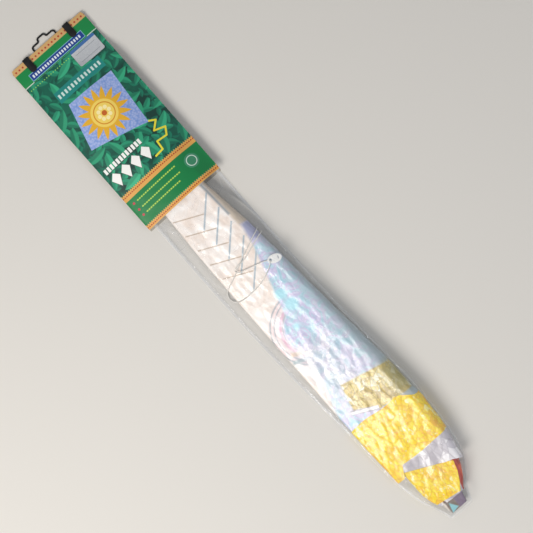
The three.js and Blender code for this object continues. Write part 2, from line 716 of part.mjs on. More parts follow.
// The line comes up round the roll's right side, crosses the roll, hangs past its left fold in a loop,
// comes back up through the tag's hole, lies over its own first run and goes back round the right side.
const bridleRoute = [
  [297.6, 38.2, 9.5], [298.6, 37.4, 14], [300.4, 33.8, 18.4], [302.6, 28, 20.1], [305.6, 20, 18.8],
  [310.5, 8, 16.8], [316, -4, 14.4], [320.5, -13, 12.4], [324.6, -22.6, 10], [327.2, -29.4, 7.8],
  [329.8, -32.6, 3.8], [333.8, -34.2, 1.6], [338.4, -34.2, 1.6], [342.4, -32.2, 3.8], [345, -29, 8.5],
  [346.4, -22, 10.3], [346.6, -12, 12.8], [345.6, -1, 15.4], [343.2, 8, 17.2],
  [338.4, 19, 19.6], [336.9, 21.4, 21.5], [335.6, 23, 23.3], [334.4, 24.5, 23.5], [333.3, 25.6, 21.9],
  [332.6, 25.1, 20.5], [331.4, 22.8, 19.7], [329.2, 17.6, 18.8], [326.6, 9, 17.2], [324.2, 1, 15.7],
  [320, -9.4, 14.7], [317.4, -10.2, 14.6], [315.6, -7, 15.4], [315.2, -1.5, 16.5],
  [314.6, 4, 16.8], [312.4, 12, 17.6], [309.2, 22, 19.2], [306.4, 31, 19.9], [305, 36, 17.6],
  [304.4, 38.6, 14], [303.8, 39.2, 10],
];

function bridleLine() {
  const route = new THREE.CatmullRomCurve3(bridleRoute.map((p) => new THREE.Vector3(...p)), false, 'centripetal');
  const radius = lineDiameter / 2;
  const section = new THREE.Shape(
    steps(0, 2 * Math.PI, 8).slice(0, 8).map((a) => new THREE.Vector2(radius * Math.cos(a), radius * Math.sin(a))),
  );
  return new THREE.ExtrudeGeometry(section, { extrudePath: route, steps: 78, bevelEnabled: false });
}

const tagHole = { x: 333.2, y: 25.6 };
const tagTilt = THREE.MathUtils.degToRad(8);
const tagTurn = THREE.MathUtils.degToRad(70);
const tagUndersideZ = 21.2;

function bridleTag() {
  const long = tagLength / 2;
  const wide = tagWidth / 2;
  const holeAt = -long + tagHoleRadius + 1.6;
  const plan = new THREE.Shape();
  plan.absellipse(0, 0, long, wide, 0, 2 * Math.PI);
  const hole = new THREE.Path();
  hole.absarc(holeAt, 0, tagHoleRadius, 0, 2 * Math.PI, true);
  const slit = new THREE.Path();
  slit.moveTo(long - 4.4, -tagSlitLength / 2);
  slit.lineTo(long - 4.4, tagSlitLength / 2);
  slit.lineTo(long - 4.4 + tagSlitWidth, tagSlitLength / 2);
  slit.lineTo(long - 4.4 + tagSlitWidth, -tagSlitLength / 2);
  plan.holes.push(hole, slit);
  const flat = prism(plan, tagThickness, 10).translate(-holeAt, 0, 0);
  return flat.rotateZ(tagTurn).rotateX(-tagTilt).translate(tagHole.x, tagHole.y, tagUndersideZ);
}

// ---------------------------------------------------------------- assembly

const header = new THREE.Group();
kite.add(header);
addPiece('header_back_panel', headerBackPanel(), materials.boardBack, header);
addPiece('header_front_panel', headerFrontPanel(), materials.printedBoard, header);
addPiece('header_top_flap', headerTopFlap(), materials.printedBoard, header);
addPiece('price_label', priceLabel(), materials.labelPaper, header);
addPiece('hanger', hanger(), materials.hangerPlastic, header);
for (const [name, side] of [['clip_arm_right', 1], ['clip_arm_left', -1]]) {
  addPiece(name, clipArm(hangerOffset + (side * clipArmSpacing) / 2), materials.hangerPlastic, header);
}

addPiece('bag_back_film', bagBackFilm(), materials.clearFilm);
addPiece('bag_front_film', bagFrontFilm(), materials.clearFilm);

const roll = new THREE.Group();
kite.add(roll);
addPiece('sail_outer_wrap', sailOuterWrap(), materials.sailFilm, roll);
addPiece('sail_inner_wrap', sailInnerWrap(), materials.printedFilm, roll);
addPiece('sail_nose_tip', sailNoseTip(), materials.printedFilm, roll);
addPiece('tail_ribbon_upper_wrap', tailRibbonUpperWrap(), materials.ribbonFilm, roll);
addPiece('tail_ribbon_under_wrap', tailRibbonUnderWrap(), materials.ribbonFilm, roll);
addPiece('tail_ribbon_lower_wrap', tailRibbonLowerWrap(), materials.ribbonFilm, roll);

const spars = new THREE.Group();
kite.add(spars);
const capDepth = capLength * 0.75 - touchGap;
const capReach = capLength - capDepth - touchGap;
addPiece('spine_spar', rod(spineStart, spineLength, spineY), materials.sparRod, spars);
addPiece('cross_spar', rod(crossSparStart, crossSparLength, crossSparY), materials.sparRod, spars);
for (const [name, start, length, y] of [
  ['spine', spineStart, spineLength, spineY],
  ['cross_spar', crossSparStart, crossSparLength, crossSparY],
]) {
  addPiece(name + '_top_cap', endCap(start - capReach - touchGap, y, -1), materials.vinylCap, spars);
  addPiece(name + '_nose_cap', endCap(start + length + capReach + touchGap, y, 1), materials.vinylCap, spars);
}
addPiece('centre_joiner', centreJoiner(), materials.fitting, spars);

addPiece('line_winder', lineWinder(), materials.winderPlastic);
addPiece('wound_flying_line', woundFlyingLine(), materials.line);
addPiece('bridle_line', bridleLine(), materials.line);
addPiece('bridle_tag', bridleTag(), materials.tagPlastic);

kite.updateMatrixWorld(true);
const box = new THREE.Box3().setFromObject(kite, true);
kite.position.set(-(box.min.x + box.max.x) / 2, -(box.min.y + box.max.y) / 2, -box.min.z);

export default kite;
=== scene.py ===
# %% [markdown]
# # A packed diamond kite
#
# A child's single-line kite as a shop sells it: the film sail is rolled up round its two rods, a yellow
# ribbon tail is wound round the roll, and the roll lies in a clear bag under a folded card header. The
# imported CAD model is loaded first, because every size and place below is taken from it.

# %% Load the frame
import math

import bmesh
import bpy
import numpy as np
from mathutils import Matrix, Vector, noise
from mathutils.bvhtree import BVHTree


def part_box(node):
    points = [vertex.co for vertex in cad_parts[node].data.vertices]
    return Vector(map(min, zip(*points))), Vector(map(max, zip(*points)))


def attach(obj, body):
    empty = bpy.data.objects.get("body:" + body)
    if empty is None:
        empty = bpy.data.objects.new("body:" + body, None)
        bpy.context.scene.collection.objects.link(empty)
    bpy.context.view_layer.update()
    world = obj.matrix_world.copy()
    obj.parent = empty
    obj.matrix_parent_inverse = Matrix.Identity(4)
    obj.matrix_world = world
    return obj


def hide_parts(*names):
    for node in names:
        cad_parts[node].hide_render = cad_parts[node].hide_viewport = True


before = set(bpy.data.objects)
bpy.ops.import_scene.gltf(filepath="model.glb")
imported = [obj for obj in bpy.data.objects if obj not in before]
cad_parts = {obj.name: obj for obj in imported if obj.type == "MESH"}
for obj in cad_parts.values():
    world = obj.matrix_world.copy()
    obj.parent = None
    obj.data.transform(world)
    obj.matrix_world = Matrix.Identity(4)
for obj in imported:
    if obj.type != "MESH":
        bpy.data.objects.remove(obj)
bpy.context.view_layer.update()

MM = 0.001

# %% [markdown]
# The designer of a pack measures from the card: x runs down the pack from the card's top edge, y runs
# across it from the middle line, and z is the height above the table. `at` turns such a place, in
# millimetres, into metres in the frame.

# %% Places on the pack
TOUCH_GAP = 0.3
card_low, card_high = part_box("header_back_panel")
TOP_EDGE = card_low.x - TOUCH_GAP * MM
MIDDLE = (card_low.y + card_high.y) / 2
CARD_LENGTH = (card_high.x - TOP_EDGE) / MM
CARD_WIDTH = (card_high.y - card_low.y) / MM


def at(x, y, z):
    return Vector((TOP_EDGE + x * MM, MIDDLE + y * MM, z * MM))


def pack_box(node):
    """A CAD node's lowest and highest corner, in pack millimetres."""
    low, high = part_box(node)
    shift = Vector((TOP_EDGE, MIDDLE, 0))
    return (low - shift) / MM, (high - shift) / MM


def ramp(value, start, end):
    """0 before start, 1 after end, and a smooth step between them."""
    share = min(1.0, max(0.0, (value - start) / (end - start)))
    return share * share * (3 - 2 * share)


print(f"card {CARD_LENGTH:.1f} by {CARD_WIDTH:.1f} mm, top edge at x = {TOP_EDGE / MM:.1f} mm")

# %% [markdown]
# The camera looks straight down from arm's length, turned so that the pack runs corner to corner. A long
# lens keeps the card's edges nearly parallel.

# %% Camera
VIEW_WIDTH = 566 * MM
VIEW_HEIGHT = 12 * MM
VIEW_DISTANCE = 1.15
VIEW_TURN = math.radians(48.6)

camera_data = bpy.data.cameras.new("camera")
camera_data.sensor_width = 36
camera_data.lens = camera_data.sensor_width * VIEW_DISTANCE / VIEW_WIDTH
camera = bpy.data.objects.new("camera", camera_data)
camera.location = at(335.7, 18.1, 0) + Vector((0, 0, VIEW_HEIGHT + VIEW_DISTANCE))
camera.rotation_euler = (0, 0, VIEW_TURN)
bpy.context.scene.collection.objects.link(camera)
bpy.context.scene.camera = camera
print(f"camera lens {camera_data.lens:.0f} mm")

# %% [markdown]
# The bridle is the short line that a kite flies from. It is one limp, twisted line: it leaves the rolled
# sail, runs down over the roll as the first leg, turns under the pack's edge, comes back up through the
# hole of its tag, and goes back into the roll beside the first leg. A curve with a round bevel is the
# right tool, because a line keeps one thickness all along a smooth path.

# %% Bridle line
LINE_DIAMETER = 1.0
bridle_route = [
    (297.6, 38.2, 9.5), (298.6, 37.4, 14), (300.4, 33.8, 18.4), (302.6, 28, 20.1), (305.6, 20, 18.8),
    (310.5, 8, 16.8), (316, -4, 14.4), (320.5, -13, 12.4), (324.6, -22.6, 10), (327.2, -29.4, 7.8),
    (329.8, -32.6, 3.8), (333.8, -34.2, 1.6), (338.4, -34.2, 1.6), (342.4, -32.2, 3.8), (345, -29, 8.5),
    (346.4, -22, 10.3), (346.6, -12, 12.8), (345.6, -1, 15.4), (343.2, 8, 17.2),
    (338.4, 19, 19.6), (336.9, 21.4, 21.5), (335.6, 23, 23.3), (334.4, 24.5, 23.5), (333.3, 25.6, 21.9),
    (332.6, 25.1, 20.5), (331.4, 22.8, 19.7), (329.2, 17.6, 18.8), (326.6, 9, 17.2), (324.2, 1, 15.7),
    (320, -9.4, 14.7), (317.4, -10.2, 14.6), (315.6, -7, 15.4), (315.2, -1.5, 16.5),
    (314.6, 4, 16.8), (312.4, 12, 17.6), (309.2, 22, 19.2), (306.4, 31, 19.9), (305, 36, 17.6),
    (304.4, 38.6, 14), (303.8, 39.2, 10),
]
bridle_points = [at(*point) for point in bridle_route]
line_curve = bpy.data.curves.new("bridle_line_twisted", "CURVE")
line_curve.dimensions = "3D"
# A curve's box counts each point's own radius, so the line's true radius is on its points.
line_curve.bevel_depth = 1.0
line_curve.bevel_resolution = 4
line_curve.resolution_u = 8
line_curve.use_fill_caps = True
spline = line_curve.splines.new("BEZIER")
spline.bezier_points.add(len(bridle_points) - 1)
for knot, point in zip(spline.bezier_points, bridle_points):
    knot.co = knot.handle_left = knot.handle_right = point
    knot.radius = LINE_DIAMETER / 2 * MM
    knot.handle_left_type = knot.handle_right_type = "AUTO"
bridle = bpy.data.objects.new("bridle_line_twisted", line_curve)
bpy.context.scene.collection.objects.link(bridle)
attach(bridle, "kite")
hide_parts("bridle_line")
bpy.context.view_layer.update()
bridle_length = spline.calc_length()
print(f"bridle line {bridle_length / MM:.0f} mm long")

# %% [markdown]
# ## Finishes
#
# Colours are written as the hex values of a paint chart and turned to the linear values that a shader
# works in. One helper adds a node, sets its settings and fills its inputs, whatever kind it is.

# %% Colour and node helpers
def chip(code, alpha=1.0):
    """An sRGB hex colour as the linear RGBA that a shader reads."""
    values = [int(code[i : i + 2], 16) / 255 for i in (1, 3, 5)]
    return (*[v / 12.92 if v <= 0.04045 else ((v + 0.055) / 1.055) ** 2.4 for v in values], alpha)


def add_node(tree, kind, inputs=(), **settings):
    """Adds a node. An input takes a number, a colour, a socket, or a node, whose first output it reads."""
    node = tree.nodes.new(kind)
    for name, value in settings.items():
        setattr(node, name, value)
    for key, value in inputs.items() if isinstance(inputs, dict) else enumerate(inputs):
        if isinstance(value, bpy.types.Node):
            value = value.outputs[0]
        if isinstance(value, bpy.types.NodeSocket):
            tree.links.new(value, node.inputs[key])
        else:
            node.inputs[key].default_value = value
    return node


def new_finish(name, **sockets):
    """A material whose own shader holds the values that are the same all over."""
    material = bpy.data.materials.new(name)
    material.use_nodes = True
    tree = material.node_tree
    shader = tree.nodes["Principled BSDF"]
    for key, value in sockets.items():
        shader.inputs[key.replace("_", " ")].default_value = value
    return material, tree, shader


def tone_ramp(tree, value, *stops):
    """Colours over a value: each stop is (position, hex)."""
    ramp_node = add_node(tree, "ShaderNodeValToRGB", (value,))
    marks = ramp_node.color_ramp.elements
    while len(marks) < len(stops):
        marks.new(0.5)
    for mark, (position, code) in zip(marks, stops):
        mark.position = position
        mark.color = chip(code)
    return ramp_node.outputs[0]


def pack_place(tree):
    """Object coordinates as pack millimetres: x from the card's top edge, y from the middle line."""
    here = add_node(tree, "ShaderNodeTexCoord").outputs["Object"]
    shift = (-TOP_EDGE / MM, -MIDDLE / MM, 0)
    return add_node(tree, "ShaderNodeMapping", {"Vector": here, "Location": shift, "Scale": (1 / MM,) * 3})


print("white chip is", [round(v, 3) for v in chip("#ffffff")])

# %% [markdown]
# Printing is flat ink inside an outline. Each function below gives the share of ink at a place: 1 inside
# the shape, 0 outside, with a soft edge of a tenth of a millimetre, as an offset press leaves. `ink` then
# lays a colour over what is already printed.

# %% Printed shapes
INK_EDGE = 0.12
ZIGZAG_PITCH = 2.6


def ink(tree, under, over, share):
    """Lays over, a hex colour or another node's colour, on under, by share."""
    over = chip(over) if isinstance(over, str) else over
    return add_node(tree, "ShaderNodeMix", {0: share, 6: under, 7: over}, data_type="RGBA").outputs[2]


def inside(tree, depth, edge=INK_EDGE):
    """1 where depth, the distance in from an outline in mm, is positive."""
    return add_node(tree, "ShaderNodeMapRange", {0: depth, 1: -edge, 2: edge})


def both(tree, first, second):
    return add_node(tree, "ShaderNodeMath", (first, second), operation="MULTIPLY")


def panel(tree, place, corners, edge=INK_EDGE):
    """A flat shape with straight sides, given by its corners, anticlockwise."""
    depth = None
    for (x0, y0), (x1, y1) in zip(corners, corners[1:] + corners[:1]):
        inward = Vector((y0 - y1, x1 - x0, 0)).normalized()
        along = add_node(tree, "ShaderNodeVectorMath", (place, inward), operation="DOT_PRODUCT")
        side = add_node(
            tree, "ShaderNodeMath", (along.outputs["Value"], inward.dot((x0, y0, 0))), operation="SUBTRACT"
        )
        if depth is None:
            depth = side
        else:
            depth = add_node(tree, "ShaderNodeMath", (depth, side), operation="MINIMUM")
    return inside(tree, depth, edge)


def block(tree, place, x0, x1, y0, y1, edge=INK_EDGE):
    return panel(tree, place, [(x0, y0), (x1, y0), (x1, y1), (x0, y1)], edge)


def stroke(tree, place, start, end, width, edge=INK_EDGE):
    """A straight line of ink from start to end."""
    run = Vector((end[0] - start[0], end[1] - start[1])).normalized() * width / 2
    side = Vector((-run.y, run.x))
    ends = [Vector(start) - side, Vector(end) - side, Vector(end) + side, Vector(start) + side]
    return panel(tree, place, [tuple(corner) for corner in ends], edge)


def flat_distance(tree, place, centre):
    level = add_node(tree, "ShaderNodeVectorMath", (place, (1, 1, 0)), operation="MULTIPLY")
    away = add_node(tree, "ShaderNodeVectorMath", (level, (*centre, 0)), operation="DISTANCE")
    return away.outputs["Value"]


def disc(tree, place, centre, radius, edge=INK_EDGE):
    away = flat_distance(tree, place, centre)
    return inside(tree, add_node(tree, "ShaderNodeMath", (radius, away), operation="SUBTRACT"), edge)


def ring(tree, place, centre, radius, width, edge=INK_EDGE):
    away = flat_distance(tree, place, centre)
    off = add_node(tree, "ShaderNodeMath", (away, radius), operation="SUBTRACT")
    off = add_node(tree, "ShaderNodeMath", (off,), operation="ABSOLUTE")
    return inside(tree, add_node(tree, "ShaderNodeMath", (width / 2, off), operation="SUBTRACT"), edge)


def repeat_across(tree, place, pitch):
    """The same place with y folded back every pitch, so that one shape becomes a row of them."""
    parts = add_node(tree, "ShaderNodeSeparateXYZ", (place,))
    folded = add_node(tree, "ShaderNodeMath", (parts.outputs[1], -pitch / 2, pitch / 2), operation="WRAP")
    return add_node(tree, "ShaderNodeCombineXYZ", (parts.outputs[0], folded, 0.0))


def zigzag(tree, place, tip, foot):
    """A row of triangles across the card: ink from the zigzag between tip and foot on, away from the top."""
    parts = add_node(tree, "ShaderNodeSeparateXYZ", (place,))
    wave = add_node(tree, "ShaderNodeMath", (parts.outputs[1], ZIGZAG_PITCH / 2), operation="PINGPONG")
    slope = (foot - tip) / (ZIGZAG_PITCH / 2)
    line = add_node(tree, "ShaderNodeMath", (wave, slope, tip), operation="MULTIPLY_ADD")
    return inside(tree, add_node(tree, "ShaderNodeMath", (parts.outputs[0], line), operation="SUBTRACT"))


print("printed shapes ready")

# %% [markdown]
# ### Coated board
#
# The header is duplex board: printed in four colours on its clay-coated face, varnished, and grey on its
# back. The varnish is what gives the eye a smooth, slightly broad gloss. The print is a jungle of green
# leaves with a pale kite-shaped panel that holds a golden sun, zigzag borders, and rows of plain marks
# where a real card has its words.

# %% Coated board, front print
VEIN_PITCH = 1.5
MARK_PITCH = 3.4
flap_length = pack_box("header_top_flap")[1].x


def leaf_layer(tree, place, under, pitch, half_width, lean, greens):
    """One leaf in each cell of a rough grid, pitch mm apart: a curved blade with a midrib and side veins."""
    cells = add_node(
        tree,
        "ShaderNodeTexVoronoi",
        {"Vector": place, "Scale": 1 / pitch, "Randomness": 0.85},
        voronoi_dimensions="2D",
    )
    chance = add_node(tree, "ShaderNodeSeparateColor", (cells.outputs["Color"],)).outputs
    from_stem = add_node(
        tree, "ShaderNodeVectorMath", (place, cells.outputs["Position"]), operation="SUBTRACT"
    )
    spin = add_node(tree, "ShaderNodeMath", (chance[0], 2.6, math.radians(lean)), operation="MULTIPLY_ADD")
    leaf = add_node(
        tree, "ShaderNodeVectorRotate", {"Vector": from_stem, "Angle": spin}, rotation_type="Z_AXIS"
    )
    leaf = add_node(tree, "ShaderNodeSeparateXYZ", (leaf,)).outputs
    along = add_node(tree, "ShaderNodeMath", (leaf[0], 1 / (0.62 * pitch)), operation="MULTIPLY")
    along_squared = add_node(tree, "ShaderNodeMath", (along, along), operation="MULTIPLY")
    bow = add_node(
        tree, "ShaderNodeMath", (along_squared, 0.3 * half_width, leaf[1]), operation="MULTIPLY_ADD"
    )
    off_rib = add_node(tree, "ShaderNodeMath", (bow,), operation="ABSOLUTE")
    taper = add_node(tree, "ShaderNodeMath", (1.0, along_squared), operation="SUBTRACT")
    depth = add_node(tree, "ShaderNodeMath", (taper, half_width), operation="MULTIPLY")
    depth = add_node(tree, "ShaderNodeMath", (depth, off_rib), operation="SUBTRACT")
    swept = add_node(tree, "ShaderNodeMath", (off_rib, 1.3, leaf[0]), operation="MULTIPLY_ADD")
    veins = add_node(tree, "ShaderNodeMath", (swept, VEIN_PITCH / 2), operation="PINGPONG")
    veins = add_node(tree, "ShaderNodeMath", (veins, 0.22 / VEIN_PITCH), operation="MULTIPLY")
    side = add_node(tree, "ShaderNodeMapRange", {0: bow, 1: -0.6, 2: 0.6, 3: 0.0, 4: 0.4})
    tone = add_node(tree, "ShaderNodeMath", (chance[1], 0.5, veins), operation="MULTIPLY_ADD")
    tone = add_node(tree, "ShaderNodeMath", (tone, side), operation="ADD")
    tones = add_node(tree, "ShaderNodeValToRGB", (tone,))
    tones.color_ramp.elements[0].color = chip(greens[0])
    tones.color_ramp.elements[1].color = chip(greens[1])
    return ink(tree, under, tones, inside(tree, depth, 0.25))


def jungle(tree, place):
    """Dark undergrowth with three layers of leaves over it, small and dark first."""
    shade = add_node(tree, "ShaderNodeTexNoise", {"Vector": place, "Scale": 0.035, "Detail": 3.0})
    tones = add_node(tree, "ShaderNodeValToRGB", (shade,))
    tones.color_ramp.elements[0].color = chip("#063d33")
    tones.color_ramp.elements[0].position = 0.38
    tones.color_ramp.elements[1].color = chip("#0a6650")
    tones.color_ramp.elements[1].position = 0.62
    colour = tones.outputs[0]
    for pitch, half_width, lean, greens in (
        (9, 2.6, 10, ("#07473b", "#128264")), (14, 3.2, -70, ("#0a5c4a", "#2aa67c")),
        (23, 4.4, -20, ("#0b6a50", "#3bbd8c")),
    ):
        colour = leaf_layer(tree, place, colour, pitch, half_width, lean, greens)
    return colour


def marks_row(tree, place, x, width, reach, pitch, first, last):
    """A row of short plain bars across the card, from the first to the last place of the pitch."""
    row = repeat_across(tree, place, pitch)
    bars = block(tree, row, x - width / 2, x + width / 2, -reach / 2, reach / 2)
    part = block(tree, place, x - width, x + width, (first - 0.5) * pitch, (last + 0.5) * pitch)
    return both(tree, bars, part)


def sun(tree, place, centre, radius, rays, colour):
    """A disc with pointed rays, printed over colour."""
    moved = add_node(tree, "ShaderNodeVectorMath", (place, (*centre, 0)), operation="SUBTRACT")
    parts = add_node(tree, "ShaderNodeSeparateXYZ", (moved,))
    angle = add_node(tree, "ShaderNodeMath", (parts.outputs[1], parts.outputs[0]), operation="ARCTAN2")
    half_ray = math.pi / rays
    point = add_node(tree, "ShaderNodeMath", (angle, half_ray), operation="PINGPONG")
    reach = add_node(
        tree, "ShaderNodeMath", (point, 0.42 * radius / half_ray, 0.58 * radius), operation="MULTIPLY_ADD"
    )
    away = flat_distance(tree, place, centre)
    depth = add_node(tree, "ShaderNodeMath", (reach, away), operation="SUBTRACT")
    colour = ink(tree, colour, "#e8b22e", inside(tree, depth, 0.4))
    colour = ink(tree, colour, "#f6d765", disc(tree, place, centre, radius * 0.52, 0.4))
    colour = ink(tree, colour, "#d98f23", ring(tree, place, centre, radius * 0.4, 1.2))
    for turn in range(8):
        a = turn * math.tau / 8
        petal = [centre[0] + radius * 0.22 * math.cos(a), centre[1] + radius * 0.22 * math.sin(a)]
        colour = ink(tree, colour, "#fff0b0", disc(tree, place, petal, radius * 0.075))
    return ink(tree, colour, "#c8641e", disc(tree, place, centre, radius * 0.1))


def board_print(tree):
    """The whole front print, from the top edge down."""
    place = pack_place(tree)
    colour = jungle(tree, place)
    for code, start, end in (("#0a8a45", 6.7, flap_length), ("#078043", 186, 218)):
        colour = ink(tree, colour, code, block(tree, place, start, end, -60, 60))

    # The flap: a tan border with red dots, and a blue strip with a pale edge.
    colour = ink(tree, colour, "#dcb072", block(tree, place, -5, 6.7, -60, 60))
    dots = repeat_across(tree, place, 4.6)
    colour = ink(tree, colour, "#b8442a", disc(tree, dots, (3.6, 0), 1.1))
    colour = ink(tree, colour, "#8fc3dc", block(tree, place, 14.2, 22.8, -38, 36))
    colour = ink(tree, colour, "#163f8f", block(tree, place, 14.8, 22.2, -37.4, 35.4))
    colour = ink(tree, colour, "#e8f1f6", marks_row(tree, place, 18.5, 3.2, 1.9, MARK_PITCH, -10, 9))

    for y0, y1 in ((-60, -38), (37, 60)):
        colour = ink(tree, colour, "#dcebe0", block(tree, place, flap_length - 0.7, flap_length, y0, y1))

    # Just under the flap: pale dots, then a plain teal band with a row of pale bars.
    row = repeat_across(tree, place, 3.1)
    row_part = block(tree, place, 26, 31, -47, 8)
    colour = ink(tree, colour, "#8fd46a", both(tree, disc(tree, row, (28.7, 0), 0.7), row_part))
    colour = ink(tree, colour, "#1c8c84", block(tree, place, 48, 62, -31, 32))
    colour = ink(tree, colour, "#d9f0ea", marks_row(tree, place, 55, 5.0, 2.4, 4.6, -6, 6))

    # The kite-shaped panel with its sun, and the panel's zigzag tail.
    corners = [(70, 32), (68, -26), (120, -40), (138, 26)]
    sky = add_node(tree, "ShaderNodeTexVoronoi", {"Vector": place, "Scale": 1 / 2.4, "Randomness": 1.0})
    sky_tones = add_node(tree, "ShaderNodeValToRGB", (sky.outputs["Distance"],))
    sky_tones.color_ramp.elements[0].color = chip("#b6c4ee")
    sky_tones.color_ramp.elements[1].color = chip("#6f93d8")
    colour = ink(tree, colour, sky_tones, panel(tree, place, corners))
    colour = sun(tree, place, (100, -3), 29, 16, colour)
    tail = [(137, 26), (141, 33), (149, 24), (153, 36), (161, 31), (160, 19), (170, 18), (171, 8)]
    for start, end in zip(tail, tail[1:]):
        colour = ink(tree, colour, "#f4e63a", stroke(tree, place, start, end, 2.0))
        colour = ink(tree, colour, "#f4e63a", disc(tree, place, end, 1.0))

    # Plain white shapes where a card has its title: a row of small bars, and four kites.
    for code, drop in (("#073a2d", 0.9), ("#fbfbf7", 0.0)):
        colour = ink(tree, colour, code, marks_row(tree, place, 147.4 + drop, 6.0, 3.0, 4.4, -10, 1))
        for step in range(4):
            x, y = 161.5 + drop, -39.5 + 14 * step
            kite = [(x - 8.5, y), (x - 2.5, y - 6), (x + 8.5, y), (x - 2.5, y + 6)]
            colour = ink(tree, colour, code, panel(tree, place, kite))

    # The borders and the small print, as rows of plain marks.
    for start in (178, 218):
        foot = start + 1.2
        colour = ink(tree, colour, "#e6ab55", block(tree, place, foot, start + 8, -60, 60))
        teeth = block(tree, place, foot - 2.2, foot + 3.4, -60, 60)
        colour = ink(tree, colour, "#e6ab55", both(tree, zigzag(tree, place, foot - 1.6, foot + 0.6), teeth))
        colour = ink(tree, colour, "#b23a24", both(tree, zigzag(tree, place, foot + 0.9, foot + 3.1), teeth))
        below = block(tree, place, foot + 2.9, start + 8, -60, 60)
        colour = ink(tree, colour, "#e6ab55", below)
    for x, last in ((192, 5), (200.4, 5), (207.6, 3)):
        colour = ink(tree, colour, "#b9dc5a", marks_row(tree, place, x, 1.4, 2.1, 2.9, -13, last))
        colour = ink(tree, colour, "#c8384a", disc(tree, place, (x, -43.5), 1.4))
    spot = (199, 33)
    colour = ink(tree, colour, "#3f8f6a", disc(tree, place, spot, 8))
    return ink(tree, colour, "#dcefe2", ring(tree, place, spot, 5.5, 0.9))


board_front, tree, shader = new_finish("varnished_duplex_board", Roughness=0.27, IOR=1.5, Coat_Weight=0.35)
shader.inputs["Coat Roughness"].default_value = 0.12
printed = board_print(tree)
tree.links.new(printed, shader.inputs["Base Color"])
# Board is not quite flat: its fibres leave a slow waviness that breaks up the varnish's gloss.
fibre = add_node(tree, "ShaderNodeTexNoise", {"Vector": pack_place(tree), "Scale": 0.12, "Detail": 4.0})
bump = add_node(tree, "ShaderNodeBump", {"Height": fibre, "Strength": 0.35, "Distance": 0.4 * MM})
tree.links.new(bump.outputs[0], shader.inputs["Normal"])
print("front print uses", len(tree.nodes), "nodes")

# %% [markdown]
# The board's back and its cut edge show the pulp itself: grey, dull, and speckled with darker fibres.

# %% Grey board back and pulp edge
board_back, tree, shader = new_finish("grey_board_back", Roughness=0.85, IOR=1.45)
speck = add_node(tree, "ShaderNodeTexNoise", {"Vector": pack_place(tree), "Scale": 1.6, "Detail": 6.0})
tones = add_node(tree, "ShaderNodeValToRGB", (speck,))
tones.color_ramp.elements[0].color = chip("#8f897c")
tones.color_ramp.elements[0].position = 0.35
tones.color_ramp.elements[1].color = chip("#c4beb0")
tones.color_ramp.elements[1].position = 0.62
tree.links.new(tones.outputs[0], shader.inputs["Base Color"])
bump = add_node(tree, "ShaderNodeBump", {"Height": speck, "Strength": 0.3, "Distance": 0.05 * MM})
tree.links.new(bump.outputs[0], shader.inputs["Normal"])

board_edge, tree, shader = new_finish("white_pulp_edge", Roughness=0.9, IOR=1.45)
layers = add_node(tree, "ShaderNodeTexNoise", {"Vector": pack_place(tree), "Scale": 3.0, "Detail": 3.0})
tones = add_node(tree, "ShaderNodeValToRGB", (layers,))
tones.color_ramp.elements[0].color = chip("#cfd0c6")
tones.color_ramp.elements[1].color = chip("#f1f1ea")
tree.links.new(tones.outputs[0], shader.inputs["Base Color"])
print("board finishes:", board_front.name, board_back.name, board_edge.name)

# %% [markdown]
# ### Moulded plastics
#
# The hanger is polypropylene, injection moulded in black: a satin skin with a fine spark-eroded grain.
# The tag is white and glossy, the winder red and glossy, and the rod fitting nylon. One function makes
# them, because they differ only in colour, gloss and grain. The grain is drawn at 0.3 mm, about three
# times as coarse as it is, so that it shows.

# %% Moulded plastic finishes
def moulded(name, code, worn_code, roughness, grain, depth):
    """A moulded plastic: a slightly uneven colour, worn a little paler, over a fine grain of that size."""
    material, tree, shader = new_finish(name, IOR=1.49)
    place = pack_place(tree)
    clouds = add_node(tree, "ShaderNodeTexNoise", {"Vector": place, "Scale": 0.18, "Detail": 5.0})
    tones = add_node(tree, "ShaderNodeValToRGB", (clouds,))
    tones.color_ramp.elements[0].color = chip(code)
    tones.color_ramp.elements[0].position = 0.45
    tones.color_ramp.elements[1].color = chip(worn_code)
    tones.color_ramp.elements[1].position = 0.75
    tree.links.new(tones.outputs[0], shader.inputs["Base Color"])
    gloss = add_node(tree, "ShaderNodeMapRange", {0: clouds, 3: roughness * 0.85, 4: roughness * 1.25})
    tree.links.new(gloss.outputs[0], shader.inputs["Roughness"])
    texture = add_node(tree, "ShaderNodeTexNoise", {"Vector": place, "Scale": 1 / grain, "Detail": 2.0})
    bump = add_node(tree, "ShaderNodeBump", {"Height": texture, "Strength": 0.5, "Distance": depth * MM})
    tree.links.new(bump.outputs[0], shader.inputs["Normal"])
    return material


black_pp = moulded("black_moulded_polypropylene", "#0d0d0e", "#1d1d1f", 0.36, 0.3, 0.02)
tag_white = moulded("white_moulded_polystyrene", "#f7f7f5", "#fdfdfc", 0.22, 1.2, 0.01)
winder_red = moulded("red_moulded_polypropylene", "#b8231c", "#cf3a2c", 0.3, 0.6, 0.02)
nylon_black = moulded("black_moulded_nylon", "#17171a", "#26262a", 0.42, 0.35, 0.02)
cap_vinyl = moulded("black_dipped_vinyl", "#121213", "#1f1f21", 0.5, 1.5, 0.05)
print("moulded plastics:", black_pp.name, tag_white.name, winder_red.name, nylon_black.name, cap_vinyl.name)

# %% [markdown]
# Pultruded fibreglass rod is drawn through resin, so its fibres run straight down it: fine pale streaks
# under a thin, dull-glossy skin.

